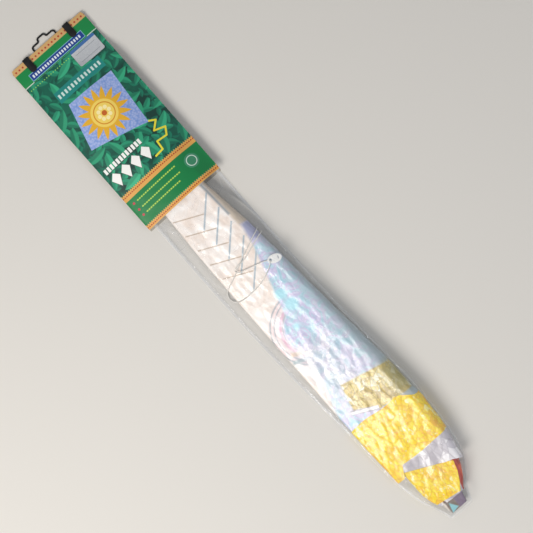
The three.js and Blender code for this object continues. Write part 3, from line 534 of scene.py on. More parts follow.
# %% Fibreglass rod
STREAK_WIDTH = 0.35
rod_glass, tree, shader = new_finish("pultruded_fibreglass", Roughness=0.38, IOR=1.52)
place = pack_place(tree)
drawn = add_node(
    tree, "ShaderNodeMapping", {"Vector": place, "Scale": (0.02, 1 / STREAK_WIDTH, 1 / STREAK_WIDTH)}
)
streaks = add_node(tree, "ShaderNodeTexNoise", {"Vector": drawn, "Scale": 1.0, "Detail": 3.0})
tones = add_node(tree, "ShaderNodeValToRGB", (streaks,))
tones.color_ramp.elements[0].color = chip("#b9ae8d")
tones.color_ramp.elements[0].position = 0.3
tones.color_ramp.elements[1].color = chip("#ece5cf")
tones.color_ramp.elements[1].position = 0.7
tree.links.new(tones.outputs[0], shader.inputs["Base Color"])
bump = add_node(tree, "ShaderNodeBump", {"Height": streaks, "Strength": 0.3, "Distance": 0.03 * MM})
tree.links.new(bump.outputs[0], shader.inputs["Normal"])
print("rod finish:", rod_glass.name)

# %% [markdown]
# ### Twisted line
#
# Kite line is three strands of polyester laid in a right-hand twist. The curve's own UV map runs along
# the line in U and round it in V, so slanted stripes in that map are the strands.

# %% Twisted line
STRANDS = 3
LAY_LENGTH = 3.2
line_white, tree, shader = new_finish("laid_polyester_line", Roughness=0.62, IOR=1.5, Sheen_Weight=0.35)
own_map = add_node(tree, "ShaderNodeTexCoord").outputs["UV"]
turns = bridle_length / MM / LAY_LENGTH
laid = add_node(tree, "ShaderNodeMapping", {"Vector": own_map, "Scale": (turns * STRANDS, STRANDS, 0)})
parts = add_node(tree, "ShaderNodeSeparateXYZ", (laid,))
slant = add_node(tree, "ShaderNodeMath", (parts.outputs[0], parts.outputs[1]), operation="ADD")
strand = add_node(tree, "ShaderNodeMath", (slant, 0.5), operation="PINGPONG")
# Painted shade: the brown-grey at each stripe's edge darkens the grooves between strands.
tones = add_node(tree, "ShaderNodeValToRGB", (strand,))
tones.color_ramp.elements[0].color = chip("#8f8573")
tones.color_ramp.elements[0].position = 0.02
tones.color_ramp.elements[1].color = chip("#f8f7f2")
tones.color_ramp.elements[1].position = 0.22
tree.links.new(tones.outputs[0], shader.inputs["Base Color"])
bump = add_node(tree, "ShaderNodeBump", {"Height": strand, "Strength": 0.9, "Distance": 0.25 * MM})
tree.links.new(bump.outputs[0], shader.inputs["Normal"])
line_curve.materials.append(line_white)

wound_white, tree, shader = new_finish("wound_polyester_line", Roughness=0.65, IOR=1.5, Sheen_Weight=0.3)
parts = add_node(tree, "ShaderNodeSeparateXYZ", (pack_place(tree),))
wander = add_node(tree, "ShaderNodeTexNoise", {"Vector": pack_place(tree), "Scale": 0.09, "Detail": 1.0})
across = add_node(tree, "ShaderNodeMath", (wander, 3.0, parts.outputs[1]), operation="MULTIPLY_ADD")
turn_side = add_node(tree, "ShaderNodeMath", (across, 0.5), operation="PINGPONG")
# Painted shade: darker grey where one turn of line meets the next.
tones = add_node(tree, "ShaderNodeValToRGB", (turn_side,))
tones.color_ramp.elements[0].color = chip("#8d8b83")
tones.color_ramp.elements[0].position = 0.02
tones.color_ramp.elements[1].color = chip("#f4f3ee")
tones.color_ramp.elements[1].position = 0.3
tree.links.new(tones.outputs[0], shader.inputs["Base Color"])
bump = add_node(tree, "ShaderNodeBump", {"Height": turn_side, "Strength": 1.0, "Distance": 0.6 * MM})
tree.links.new(bump.outputs[0], shader.inputs["Normal"])
print("line finishes:", line_white.name, wound_white.name)

# %% [markdown]
# ### Thin films
#
# Every other surface here is blown or cast plastic film a few hundredths of a millimetre thick. What the eye
# reads as film is its creases: nearly flat facets that meet in sharp lines and catch the light one by one.
# The large creases are modelled in the meshes. The fine ones come from a cell pattern, drawn out along the
# roll as the winding pulls them, whose borders are the crease lines. On the coloured films the same cells
# also carry painted highlights and painted shade, lighter and darker from facet to facet.

# %% Film creases
def film_facets(tree, place, size, turn):
    """Facets about size mm across, drawn out along the roll: how far from a crease, and a chance for each."""
    drift = add_node(tree, "ShaderNodeTexNoise", {"Vector": place, "Scale": 0.05, "Detail": 2.0})
    push = add_node(tree, "ShaderNodeVectorMath", (drift.outputs["Color"], (9, 9, 9)), operation="MULTIPLY")
    bent = add_node(tree, "ShaderNodeVectorMath", (place, push), operation="ADD")
    drawn = add_node(
        tree,
        "ShaderNodeMapping",
        {
            "Vector": bent,
            "Rotation": (0, 0, math.radians(turn)),
            "Scale": (0.55 / size, 1 / size, 0.6 / size),
        },
    )
    edge = add_node(tree, "ShaderNodeTexVoronoi", {"Vector": drawn, "Scale": 1.0}, feature="DISTANCE_TO_EDGE")
    cell = add_node(tree, "ShaderNodeTexVoronoi", {"Vector": drawn, "Scale": 1.0})
    chance = add_node(tree, "ShaderNodeSeparateColor", (cell.outputs["Color"],))
    return edge.outputs["Distance"], chance.outputs[0]


CREASE_LAYERS = ((1.0, 18), (0.45, -31))


def film_creases(tree, place, size, strength, depth=0.5):
    """A normal with creases about size mm apart, and finer ones between them."""
    heights = []
    for share, turn in CREASE_LAYERS:
        edge, _ = film_facets(tree, place, size * share, turn)
        heights.append(add_node(tree, "ShaderNodeMath", (edge, share), operation="MULTIPLY"))
    height = add_node(tree, "ShaderNodeMath", heights, operation="ADD")
    return add_node(tree, "ShaderNodeBump", {"Height": height, "Strength": strength, "Distance": depth * MM})


def painted_facet_light(tree, place, size, crease_shade_code, *stops):
    """Painted highlights and shade: a colour that steps from facet to facet, as light on crumpled film does,
    with painted shade along its creases.
    """
    value, line = 0.0, None
    for share, turn in CREASE_LAYERS:
        edge, chance = film_facets(tree, place, size * share, turn)
        value = add_node(tree, "ShaderNodeMath", (chance, 0.5, value), operation="MULTIPLY_ADD")
        near = add_node(tree, "ShaderNodeMapRange", {0: edge, 1: 0.0, 2: 0.07, 3: 0.7, 4: 0.0})
        line = near if line is None else add_node(tree, "ShaderNodeMath", (line, near), operation="MAXIMUM")
    return ink(tree, tone_ramp(tree, value, *stops), crease_shade_code, line)


# The bag is cast polypropylene: clear, glossy and stiff enough to crackle. It lets nearly all light through,
# so only its weld, a faint haze and painted highlights show: thin white lines along some of its creases, made
# a little more opaque.
clear_film, tree, shader = new_finish("clear_cast_polypropylene", Roughness=0.07, IOR=1.7)
shader.inputs["Base Color"].default_value = chip("#fbfdff")
place = pack_place(tree)
haze = add_node(
    tree, "ShaderNodeTexNoise", {"Vector": place, "Scale": 0.03, "Detail": 5.0, "Distortion": 1.5}
)
weld = add_node(tree, "ShaderNodeAttribute", attribute_name="weld")
clouding = add_node(tree, "ShaderNodeMapRange", {0: haze, 1: 0.4, 2: 0.75, 3: 0.015, 4: 0.05})
edge, chance = film_facets(tree, place, 15, 18)
# Painted highlights: thin white lines along some crease edges, where the film would catch the light.
painted_glint = add_node(tree, "ShaderNodeMapRange", {0: edge, 1: 0.0, 2: 0.025, 3: 0.12, 4: 0.0})
somewhere = add_node(tree, "ShaderNodeMath", (chance, 0.6), operation="GREATER_THAN")
lines = both(tree, painted_glint, somewhere)
solid = add_node(tree, "ShaderNodeMath", (weld.outputs["Fac"], 0.12, clouding), operation="MULTIPLY_ADD")
solid = add_node(tree, "ShaderNodeMath", (solid, lines), operation="ADD")
tree.links.new(solid.outputs[0], shader.inputs["Alpha"])
tree.links.new(film_creases(tree, place, 13, 0.6).outputs[0], shader.inputs["Normal"])

# The yellow tail is glossy cast film, printed through. Its colour is painted from facet to facet, from amber
# to a pale lemon: painted highlights on the facets turned to the light, and painted shade in the creases.
ribbon_yellow, tree, shader = new_finish("yellow_cast_film", Roughness=0.32, IOR=1.5, Coat_Weight=0.5)
shader.inputs["Coat Roughness"].default_value = 0.08
place = pack_place(tree)
colour = painted_facet_light(
    tree, place, 5.5, "#d89c00",
    (0.14, "#f4ba00"), (0.3, "#ffd200"), (0.5, "#ffe000"), (0.74, "#ffea30"), (0.88, "#fffbb0"),
)
tree.links.new(colour, shader.inputs["Base Color"])
tree.links.new(film_creases(tree, place, 5.5, 0.9).outputs[0], shader.inputs["Normal"])
print("film finishes:", clear_film.name, ribbon_yellow.name)

# %% [markdown]
# The sail is blown polyethylene, white and a little milky. It is printed on its far side, so the print
# shows through it pale and soft: a cream part with thin crossing lines and rings, a blue and lilac part,
# and the golden end of the tail that lies under it.

# %% Sail film, with its print seen through it
SOFT_EDGE = 0.8
RINGS = (413, 9)
sail_white, tree, shader = new_finish("milky_blown_polyethylene", Roughness=0.36, IOR=1.5, Coat_Weight=0.4)
shader.inputs["Coat Roughness"].default_value = 0.06
place = pack_place(tree)
clouds = add_node(
    tree, "ShaderNodeTexNoise", {"Vector": place, "Scale": 0.045, "Detail": 6.0, "Distortion": 1.2}
)
colour = tone_ramp(tree, clouds, (0.35, "#eedfd4"), (0.5, "#f6ece5"), (0.65, "#fdf8f4"))
THREAD_PITCH, THREADS = 20, 5
for step in range(THREADS):
    x = 235 + THREAD_PITCH * step
    colour = ink(tree, colour, "#a9b9c4", stroke(tree, place, (x, 22), (x + 30, -8), 1.8, 0.5))
    colour = ink(tree, colour, "#bca690", stroke(tree, place, (x, -26), (x + 15, 5), 1.1, 0.5))
colour = ink(tree, colour, "#f4dfe0", disc(tree, place, RINGS, 41, 3))
colour = ink(tree, colour, "#fbf4f1", disc(tree, place, RINGS, 33, 2))
for radius, width, code in (
    (40.5, 1.3, "#93a3ac"), (36, 1.2, "#9aa9b2"), (29.5, 3.6, "#e6bfd2"), (27, 1.2, "#a1a6ba")
):
    colour = ink(tree, colour, code, ring(tree, place, RINGS, radius, width, SOFT_EDGE))
colour = ink(tree, colour, "#efd2b6", stroke(tree, place, (424, -25), (433, -8), 4.5, SOFT_EDGE))
colour = ink(tree, colour, "#9fb2b6", stroke(tree, place, (432, -29), (440, -8), 4.2, SOFT_EDGE))

# The blue and lilac part covers the rings' upper side and runs down to the tail.
marbled = add_node(
    tree, "ShaderNodeTexNoise", {"Vector": place, "Scale": 0.07, "Detail": 4.0, "Distortion": 1.6}
)
blues = tone_ramp(
    tree, marbled,
    (0.34, "#9ccadd"), (0.46, "#bcd8e8"), (0.53, "#c2bde0"), (0.62, "#d6d0ea"), (0.72, "#b4e2ee"),
)
colour = ink(tree, colour, blues, disc(tree, place, RINGS, 26, SOFT_EDGE))
for corners in (
    [(285, 30), (387, -1), (402, 4), (402, 60), (285, 60)],
    [(400, 4), (523, -36), (640, -60), (640, 60), (400, 60)],
):
    colour = ink(tree, colour, blues, panel(tree, place, corners, 1.5))
for centre, radius in (((367, 10), 6.5), ((383, 12), 7.5), ((444, -3), 6), ((471, -9), 7), ((404, 0), 4)):
    colour = ink(tree, colour, "#b0e6f4", disc(tree, place, centre, radius, 2))
# Painted shade: a soft grey band along the far side of the roll, which turns away from the light.
colour = ink(tree, colour, "#a7b6bd", block(tree, place, 300, 640, 33, 70, 11))
colour = ink(tree, colour, "#cdbfae", panel(tree, place, [(224, 25), (284, 25), (290, 60), (224, 60)], 1.5))
colour = ink(tree, colour, "#8d979f", stroke(tree, place, (224, 23), (268, 25), 2.4, 1.2))
colour = ink(tree, colour, "#a2a6c6", panel(tree, place, [(284, 27), (304, 24), (308, 38), (286, 38)], 2))
# Painted highlights and shade over the middle of the roll: white and grey facets, darker along the creases.
facets = painted_facet_light(
    tree, place, 8, "#a3a9bd",
    (0.25, "#b4c0cf"), (0.45, "#d9dae8"), (0.65, "#f3eef4"), (0.8, "#ffffff"),
)
colour = ink(tree, colour, facets, both(tree, block(tree, place, 425, 512, -20, 22, 9), 0.75))

# The golden end of the tail, its facets painted lighter and darker as painted highlights and shade, and the
# pale strip beside it.
gold = painted_facet_light(
    tree, place, 7, "#8a7434",
    (0.2, "#b09648"), (0.4, "#d8c06a"), (0.6, "#f7e59c"), (0.8, "#fffce4"),
)
gold_corners = [(531, 50), (494, 50), (482, -6.4), (513, -14), (528, 8.9)]
colour = ink(tree, colour, gold, panel(tree, place, gold_corners, 1))
# Painted shade: the olive band over the gold's far side, where the roll turns away from the light.
colour = ink(tree, colour, "#a09a66", both(tree, block(tree, place, 494, 529, 34, 70, 7), 0.8))
colour = ink(tree, colour, "#a7a2b2", stroke(tree, place, (512, -18), (526, 9), 5, 0.6))
colour = ink(tree, colour, "#f7f4f6", stroke(tree, place, (513, -18), (525, 9), 3, 0.6))
# Painted highlights and shade: the pale grey film at the nose end, lighter and darker from facet to facet.
silver = painted_facet_light(tree, place, 14, "#aaa5ae", (0.2, "#b8b3bb"), (0.5, "#cfcbd2"), (0.8, "#f6f4f7"))
colour = ink(tree, colour, silver, block(tree, place, 560, 640, -60, 70, 1.0))
tree.links.new(colour, shader.inputs["Base Color"])
tree.links.new(film_creases(tree, place, 9, 0.75).outputs[0], shader.inputs["Normal"])
print("sail print uses", len(tree.nodes), "nodes")

# %% [markdown]
# The kite's nose is the same film, printed in deeper colours: a silvery ground with a red and yellow corner
# on the inner roll, and bands of violet, brown and blue at the very tip. The silvery look is painted
# highlights and shade, lighter and darker from facet to facet.

# %% Printed film of the nose
def printed_film(name, ground_and_glint, shapes, crease):
    """Film with flat printed shapes, each (hex, corners), on a ground of two tones: painted shade in its
    creases and on its darker facets, and painted highlights on its lighter facets.
    """
    material, tree, shader = new_finish(name, Roughness=0.26, IOR=1.51, Coat_Weight=0.45)
    shader.inputs["Coat Roughness"].default_value = 0.1
    place = pack_place(tree)
    colour = painted_facet_light(tree, place, 2 * crease, ground_and_glint[0], (0.2, ground_and_glint[0]), (0.8, ground_and_glint[1]))
    for code, corners in shapes:
        colour = ink(tree, colour, code, panel(tree, place, corners, 0.5))
    tree.links.new(colour, shader.inputs["Base Color"])
    tree.links.new(film_creases(tree, place, crease, 0.8).outputs[0], shader.inputs["Normal"])
    return material


nose_film = printed_film(
    "printed_polyethylene_nose",
    ("#a8a3ad", "#f4f2f5"),
    [
        ("#a92a10", [(618, 27), (652, 18), (656, 44), (616, 44)]),
        ("#d8501c", [(627, 31), (641, 27), (643, 33), (628, 37)]),
        ("#f1efe9", [(602, -19), (619, -19), (617, -12), (603, -12)]),
        ("#2a2526", [(606, -19), (610, -19), (609, -13.5), (606, -13.5)]),
    ],
    6,
)
tip_film = printed_film(
    "printed_polyethylene_tip",
    ("#75695f", "#94807a"),
    [
        ("#74617a", [(640, 4), (670, 4), (670, 30), (640, 30)]),
        ("#86c5cf", [(653, -3), (664, -6), (662, 3)]),
        ("#d8cfc4", [(640, -20), (668, -20), (666, -7.5), (645, -6)]),
        ("#5c3f2e", [(640, -6), (650, -7), (651, 1), (642, 3)]),
    ],
    4,
)
print("nose finishes:", nose_film.name, tip_film.name)

# %% [markdown]
# The price label is matt paper with a printed blue edge. It carries no words or figures, only two faint
# rules, as a blank label roll has.

# %% Paper label
label_low, label_high = pack_box("price_label")
label_paper, tree, shader = new_finish("self_adhesive_paper", Roughness=0.7, IOR=1.45)
place = pack_place(tree)
pulp = add_node(tree, "ShaderNodeTexNoise", {"Vector": place, "Scale": 0.9, "Detail": 5.0})
tones = add_node(tree, "ShaderNodeValToRGB", (pulp,))
tones.color_ramp.elements[0].color = chip("#b8bcc2")
tones.color_ramp.elements[0].position = 0.3
tones.color_ramp.elements[1].color = chip("#cdd0d3")
tones.color_ramp.elements[1].position = 0.7
colour = tones.outputs[0]
x0 = label_low.x
colour = ink(tree, colour, "#3f6ea8", block(tree, place, x0, x0 + 3.6, label_low.y - 1, label_high.y + 1))
for offset in (7.5, 17.5):
    rule = block(tree, place, x0 + offset, x0 + offset + 0.5, label_low.y + 4, label_high.y - 4)
    colour = ink(tree, colour, "#8d9399", rule)
tree.links.new(colour, shader.inputs["Base Color"])
bump = add_node(tree, "ShaderNodeBump", {"Height": pulp, "Strength": 0.25, "Distance": 0.05 * MM})
tree.links.new(bump.outputs[0], shader.inputs["Normal"])
print("label finish:", label_paper.name)

# %% [markdown]
# ## Making pieces
#
# A piece is modelled in a bmesh, given its finish, and attached to the CAD body it moves with, and the CAD
# node it stands for is hidden. `add_piece` does that last part the same way for every piece.

# %% Finishing a piece
def add_piece(name, bm, finishes, body, nodes, sharp=math.radians(40)):
    mesh = bpy.data.meshes.new(name)
    bm.to_mesh(mesh)
    bm.free()
    for finish in finishes:
        mesh.materials.append(finish)
    mesh.shade_smooth()
    mesh.set_sharp_from_angle(angle=sharp)
    piece = bpy.data.objects.new(name, mesh)
    bpy.context.scene.collection.objects.link(piece)
    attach(piece, body)
    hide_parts(*nodes)
    print(f"{name}: {len(mesh.polygons)} faces")
    return piece


def cad_copy(node):
    """A merged copy of a CAD node's mesh, as a bmesh."""
    bm = bmesh.new()
    bm.from_mesh(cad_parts[node].data)
    bmesh.ops.remove_doubles(bm, verts=bm.verts, dist=0.002 * MM)
    return bm


print("piece helpers ready")

# %% [markdown]
# ### Hanger, clip arms, tag and fittings
#
# These are stiff mouldings whose shape the CAD model already holds, but with knife-sharp edges. A real
# moulding has a small radius on every edge, and that radius is what catches the light. So each is a copy
# of its CAD solid: flat faces are dissolved back to single faces, and the sharp edges are bevelled.

# %% Moulded pieces with rounded edges
def rounded_copy(name, node, finish, body, radius, corner=32):
    bm = cad_copy(node)
    bmesh.ops.dissolve_limit(bm, angle_limit=math.radians(0.5), verts=bm.verts, edges=bm.edges)
    sharp = [e for e in bm.edges if e.is_manifold and e.calc_face_angle() > math.radians(corner)]
    bmesh.ops.bevel(
        bm, geom=sharp, offset=radius * MM, segments=3, profile=0.5, affect="EDGES",
        clamp_overlap=True, material=-1,
    )
    bmesh.ops.recalc_face_normals(bm, faces=bm.faces)
    return add_piece(name, bm, [finish], body, [node], sharp=math.radians(50))


rounded_copy("hanger_moulding", "hanger", black_pp, "header", 0.3)
rounded_copy("clip_arm_right_moulding", "clip_arm_right", black_pp, "clip_right", 0.3)
rounded_copy("clip_arm_left_moulding", "clip_arm_left", black_pp, "clip_left", 0.3)
tag = rounded_copy("bridle_tag_moulding", "bridle_tag", tag_white, "tag", 0.22)
rounded_copy("joiner_moulding", "centre_joiner", nylon_black, "kite", 0.25)
rounded_copy("winder_moulding", "line_winder", winder_red, "kite", 0.4)
for place_name in ("spine_top_cap", "spine_nose_cap", "cross_spar_top_cap", "cross_spar_nose_cap"):
    rounded_copy(place_name + "_dipped", place_name, cap_vinyl, "kite", 0.2, 40)
for node in ("spine_spar", "cross_spar"):
    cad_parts[node].material_slots[0].material = rod_glass
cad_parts["wound_flying_line"].material_slots[0].material = wound_white

# %% [markdown]
# ### Header card
#
# A folded card is one thin sheet that keeps its length and takes soft curves. The two leaves are sheets whose
# height is read off the CAD model by dropping rays on it, then smoothed, so that the arch over the roll is a
# curve and not a row of flat strips. `sheet_over` makes such a sheet.

# %% Sheets read off the CAD model
DROP_HEIGHT = 100 * MM


def relief(node, places):
    """The height of a CAD node's upper face, in mm, under each place of a grid of (x, y)."""
    bm = cad_copy(node)
    tree = BVHTree.FromBMesh(bm)
    bm.free()
    rows, columns = places.shape[:2]
    heights = np.full((rows, columns), np.nan)
    for i in range(rows):
        for j in range(columns):
            start = at(*places[i, j], DROP_HEIGHT / MM)
            hit = tree.ray_cast(start, Vector((0, 0, -1)))[0]
            if hit is None:
                hit = tree.find_nearest(at(*places[i, j], 0))[0]
            heights[i, j] = hit.z / MM
    return heights


def smoothed(heights, passes):
    """Each pass gives a height half its own value and half its four neighbours' mean."""
    for _ in range(passes):
        wide = np.pad(heights, 1, mode="edge")
        around = wide[:-2, 1:-1] + wide[2:, 1:-1] + wide[1:-1, :-2] + wide[1:-1, 2:]
        heights = 0.5 * heights + 0.125 * around
    return heights


def grid_places(x_of, y_of, rows, columns):
    """Pack places over a sheet: x_of and y_of take shares along and across it."""
    shares = [(i / rows, j / columns) for i in range(rows + 1) for j in range(columns + 1)]
    flat = [(x_of(u, v), y_of(u, v)) for u, v in shares]
    return np.array(flat).reshape(rows + 1, columns + 1, 2)


def sheet_over(places, heights, thickness):
    """A grid moved to those places and heights, given its thickness downwards."""
    rows, columns = heights.shape[0] - 1, heights.shape[1] - 1
    bm = bmesh.new()
    bmesh.ops.create_grid(bm, x_segments=rows, y_segments=columns, size=1)
    for vert in bm.verts:
        i = round((vert.co.x + 1) / 2 * rows)
        j = round((vert.co.y + 1) / 2 * columns)
        vert.co = at(*places[i, j], heights[i, j])
    bmesh.ops.recalc_face_normals(bm, faces=bm.faces)
    if sum(face.normal.z for face in bm.faces) < 0:
        bmesh.ops.reverse_faces(bm, faces=bm.faces)
    bmesh.ops.solidify(bm, geom=bm.faces, thickness=thickness * MM)
    return bm


def show_board(bm):
    """Gives board its three finishes: print on top, pulp on the cut edges, and grey underneath."""
    for face in bm.faces:
        face.material_index = 0 if face.normal.z > 0.3 else 2 if face.normal.z < -0.3 else 1


BOARD = 0.45
board_finishes = [board_front, board_edge, board_back]
print("sheet helpers ready")

# %% [markdown]
# The front leaf is printed, arched over the roll and creased where the roll's edge presses it up. A slow
# unevenness of a third of a millimetre keeps it from looking like sheet metal.

# %% Header front leaf
PANEL_STEP = 1.6
CREASE_Y = 31.0
panel_low, panel_high = pack_box("header_front_panel")
rows = int((panel_high.x - panel_low.x) / PANEL_STEP)
columns = int((panel_high.y - panel_low.y) / PANEL_STEP)
top_corner = 3.0


def card_edge(y):
    """How far the card's top edge falls back at its corners."""
    return top_corner * max(0.0, abs(y) - (CARD_WIDTH / 2 - 2.2 * top_corner)) / (2.2 * top_corner)


def leaf_y(u, v):
    return panel_low.y + 0.05 + v * (panel_high.y - panel_low.y - 0.1)


def leaf_x(u, v):
    start = panel_low.x + 0.05 + card_edge(leaf_y(u, v))
    return start + u * (panel_high.x - 0.05 - start)


places = grid_places(leaf_x, leaf_y, rows, columns)
heights = smoothed(relief("header_front_panel", places), 14)
for i in range(rows + 1):
    for j in range(columns + 1):
        x, y = places[i, j]
        freely = ramp(x, flap_length + 6, flap_length + 40)
        slow = noise.noise(Vector((x / 42, y / 26, 0.3))) + 0.4 * noise.noise(Vector((x / 17, y / 13, 2.1)))
        crease = math.exp(-(((y - CREASE_Y + 0.02 * (x - 120)) / 1.6) ** 2))
        heights[i, j] += freely * (0.34 * slow + 0.3 * crease) - 0.02
bm = sheet_over(places, heights, BOARD)
show_board(bm)
add_piece(
    "header_front_leaf", bm, board_finishes, "front_panel", ["header_front_panel"], 1.0
)

# %% [markdown]
# The back leaf lies nearly flat on the table and rises over the hanger's bar at its top.

# %% Header back leaf
back_low, back_high = pack_box("header_back_panel")


def back_y(u, v):
    return back_low.y + 0.05 + v * (back_high.y - back_low.y - 0.1)


def back_x(u, v):
    start = back_low.x + 0.05 + card_edge(back_y(u, v))
    return start + u * (back_high.x - 0.05 - start)


places = grid_places(back_x, back_y, 110, 48)
bm = sheet_over(places, smoothed(relief("header_back_panel", places), 6), BOARD)
show_board(bm)
for face in bm.faces:
    face.material_index = 1 if face.material_index == 1 else 2
add_piece("header_back_leaf", bm, board_finishes, "header", ["header_back_panel"], 1.0)

# %% [markdown]
# The flap is scored and folded from the back leaf over the front one, so its outer face is printed and
# its cut edge shows the white pulp. Its CAD solid already has the fold's round, so a bevelled copy keeps
# it, and the bevel is only a tenth of a millimetre: a cut edge of board is crisp.

# %% Header flap
bm = cad_copy("header_top_flap")
bmesh.ops.dissolve_limit(bm, angle_limit=math.radians(0.5), verts=bm.verts, edges=bm.edges)
show_board(bm)
low, high = pack_box("header_top_flap")
for face in bm.faces:
    centre = face.calc_center_median()
    if centre.x < TOP_EDGE and abs(face.normal.y) < 0.5:
        face.material_index = 0
edges = [e for e in bm.edges if e.is_manifold and e.calc_face_angle() > math.radians(50)]
bmesh.ops.bevel(
    bm, geom=edges, offset=0.1 * MM, segments=2, profile=0.5, affect="EDGES", clamp_overlap=True, material=-1
)
add_piece("header_flap", bm, board_finishes, "top_flap", ["header_top_flap"])

# %% [markdown]
# The label is thin paper pressed on the front leaf, with rounded corners from its die and one corner that
# has begun to lift.

# %% Price label
LABEL_CORNER = 1.5
label_rows, label_columns = 22, 34


def squircle(share, other, half, other_half):
    """Pulls a grid's corners in to a quarter circle, so that the label has its die's round corners."""
    reach = half - LABEL_CORNER
    past = max(0.0, abs(other) - (other_half - LABEL_CORNER))
    limit = reach + math.sqrt(max(0.0, LABEL_CORNER**2 - past**2))
    return share * limit


half_x = (label_high.x - label_low.x) / 2 - 0.05
half_y = (label_high.y - label_low.y) / 2 - 0.05
mid_x, mid_y = (label_low.x + label_high.x) / 2, (label_low.y + label_high.y) / 2
places = grid_places(
    lambda u, v: mid_x + squircle(2 * u - 1, (2 * v - 1) * half_y, half_x, half_y),
    lambda u, v: mid_y + (2 * v - 1) * half_y,
    label_rows,
    label_columns,
)
heights = smoothed(relief("price_label", places), 2)
for i in range(label_rows + 1):
    for j in range(label_columns + 1):
        x, y = places[i, j]
        corner = ramp(x - y * 0.6, label_high.x - label_low.y * 0.6 - 9, label_high.x - label_low.y * 0.6)
        heights[i, j] += 0.9 * corner
add_piece(
    "price_label_paper", sheet_over(places, heights, 0.12), [label_paper], "front_panel",
    ["price_label"],
)

# %% [markdown]
# ### Rolled film
#
# Rolled round two thin rods and pressed flat in its bag, the film makes a lopsided roll: a big round on
# one side, a tight fold on the other, and nearly straight runs between them. A roll's plan, how far it
# reaches right, left and up at each place along it, is measured on its CAD solid by cutting it across.
# `outline` then gives a point on the roll, for a share of a turn, as a true curve.

# %% Roll outlines
ROUND_SHARE, TOP_SHARE, FOLD_SHARE = 0.4, 0.25, 0.15
FOLD_RADIUS = 3.0
CUT_STEP = 9.0


def roll_plan(node, left_until=None, crest_until=None):
    """Samples of how far a roll reaches, as arrays over x: right, left, bottom and top, in mm."""
    low, high = pack_box(node)
    count = max(3, int((high.x - low.x) / CUT_STEP))
    samples = []
    for x in np.linspace(low.x + 0.2, high.x - 0.6, count):
        bm = cad_copy(node)
        cut = bmesh.ops.bisect_plane(
            bm, geom=bm.verts[:] + bm.edges[:] + bm.faces[:], plane_co=at(x, 0, 0), plane_no=(1, 0, 0)
        )
        points = [v.co for v in cut["geom_cut"] if isinstance(v, bmesh.types.BMVert)]
        ys = [(p.y - MIDDLE) / MM for p in points]
        zs = [p.z / MM for p in points]
        samples.append((x, max(ys), min(ys), min(zs), max(zs)))
        bm.free()
    samples = np.array(samples)
    kept_left = samples[samples[:, 0] <= (left_until or high.x)]
    kept_top = samples[samples[:, 0] <= (crest_until or high.x)]
    print(f"{node}: {len(samples)} cuts, {low.x:.0f} to {high.x:.0f} mm along")
    return {
        "right": (samples[:, 0], samples[:, 1]),
        "left": (kept_left[:, 0], kept_left[:, 2]),
        "bottom": (samples[:, 0], samples[:, 3]),
        "top": (kept_top[:, 0], kept_top[:, 4]),
    }


def outline(plan, x, turn, offset):
    """A point on the roll, in pack mm. turn goes round it from underneath, up the big round and over."""
    right, left, bottom, top = (
        float(np.interp(x, *plan[side])) for side in ("right", "left", "bottom", "top")
    )
    big = (top - bottom) / 2
    small = min(FOLD_RADIUS, big)
    big_y, small_y = right - big, left + small
    over_top = math.pi / 2 + 2 * math.atan2(big - small, big_y - small_y)
    along, angle = 0.0, over_top
    if turn < ROUND_SHARE:
        angle = -math.pi / 2 + (over_top + math.pi / 2) * turn / ROUND_SHARE
    elif turn < ROUND_SHARE + TOP_SHARE:
        along = (turn - ROUND_SHARE) / TOP_SHARE
    elif turn < ROUND_SHARE + TOP_SHARE + FOLD_SHARE:
        along = 1.0
        angle = over_top + (1.5 * math.pi - over_top) * (turn - ROUND_SHARE - TOP_SHARE) / FOLD_SHARE
    else:
        along = (1 - turn) / (1 - ROUND_SHARE - TOP_SHARE - FOLD_SHARE)
        angle = -math.pi / 2
    radius = big + (small - big) * along
    reach = radius + offset
    y = big_y + (small_y - big_y) * along + reach * math.cos(angle)
    return x, y, bottom + radius + reach * math.sin(angle)


# %% [markdown]
# Film that has been wound, flattened and handled is creased all over. The creases here press the film in,
# by up to about a millimetre, along long slanting folds with small facets between them. The depth is read
# at a place in space, so layers wound on one outline crease together. The inner roll, the nose and their
# ribbon have outlines of their own, and still cross a little where they meet. The underside stays flat.

# %% Creases in wound film
def crease_depth(x, y, z, amount=1.0):
    """How far the film at a place is pressed in, in mm."""
    lift = ramp(z, 3.5, 9)
    folds = noise.turbulence(Vector((x / 70 + y / 40, y / 13 - x / 160, z / 13)), 3, True)
    near = noise.voronoi(Vector((x / 21 + 7, y / 8.5 + x / 90, z / 8.5)))[0]
    facets = min(0.55, near[1] - near[0])
    return amount * lift * (0.75 * folds + 0.75 * (0.55 - facets))


OUTLINE_STEPS = 120


def declare_film(plan, turns, start_x, end_x):
    """Samples the smooth roll the film is wound on, before any crease, and measures the film's width round
    it; nothing is kept.
    """
    middle = (start_x(0) + end_x(0)) / 2
    places = []
    for step in range(OUTLINE_STEPS + 1):
        turn = (turns[0] + (turns[1] - turns[0]) * step / OUTLINE_STEPS) % 1.0
        places.append(outline(plan, middle, turn, 0.0))
    widths = [end_x(y) - start_x(y) for x, y, z in places]


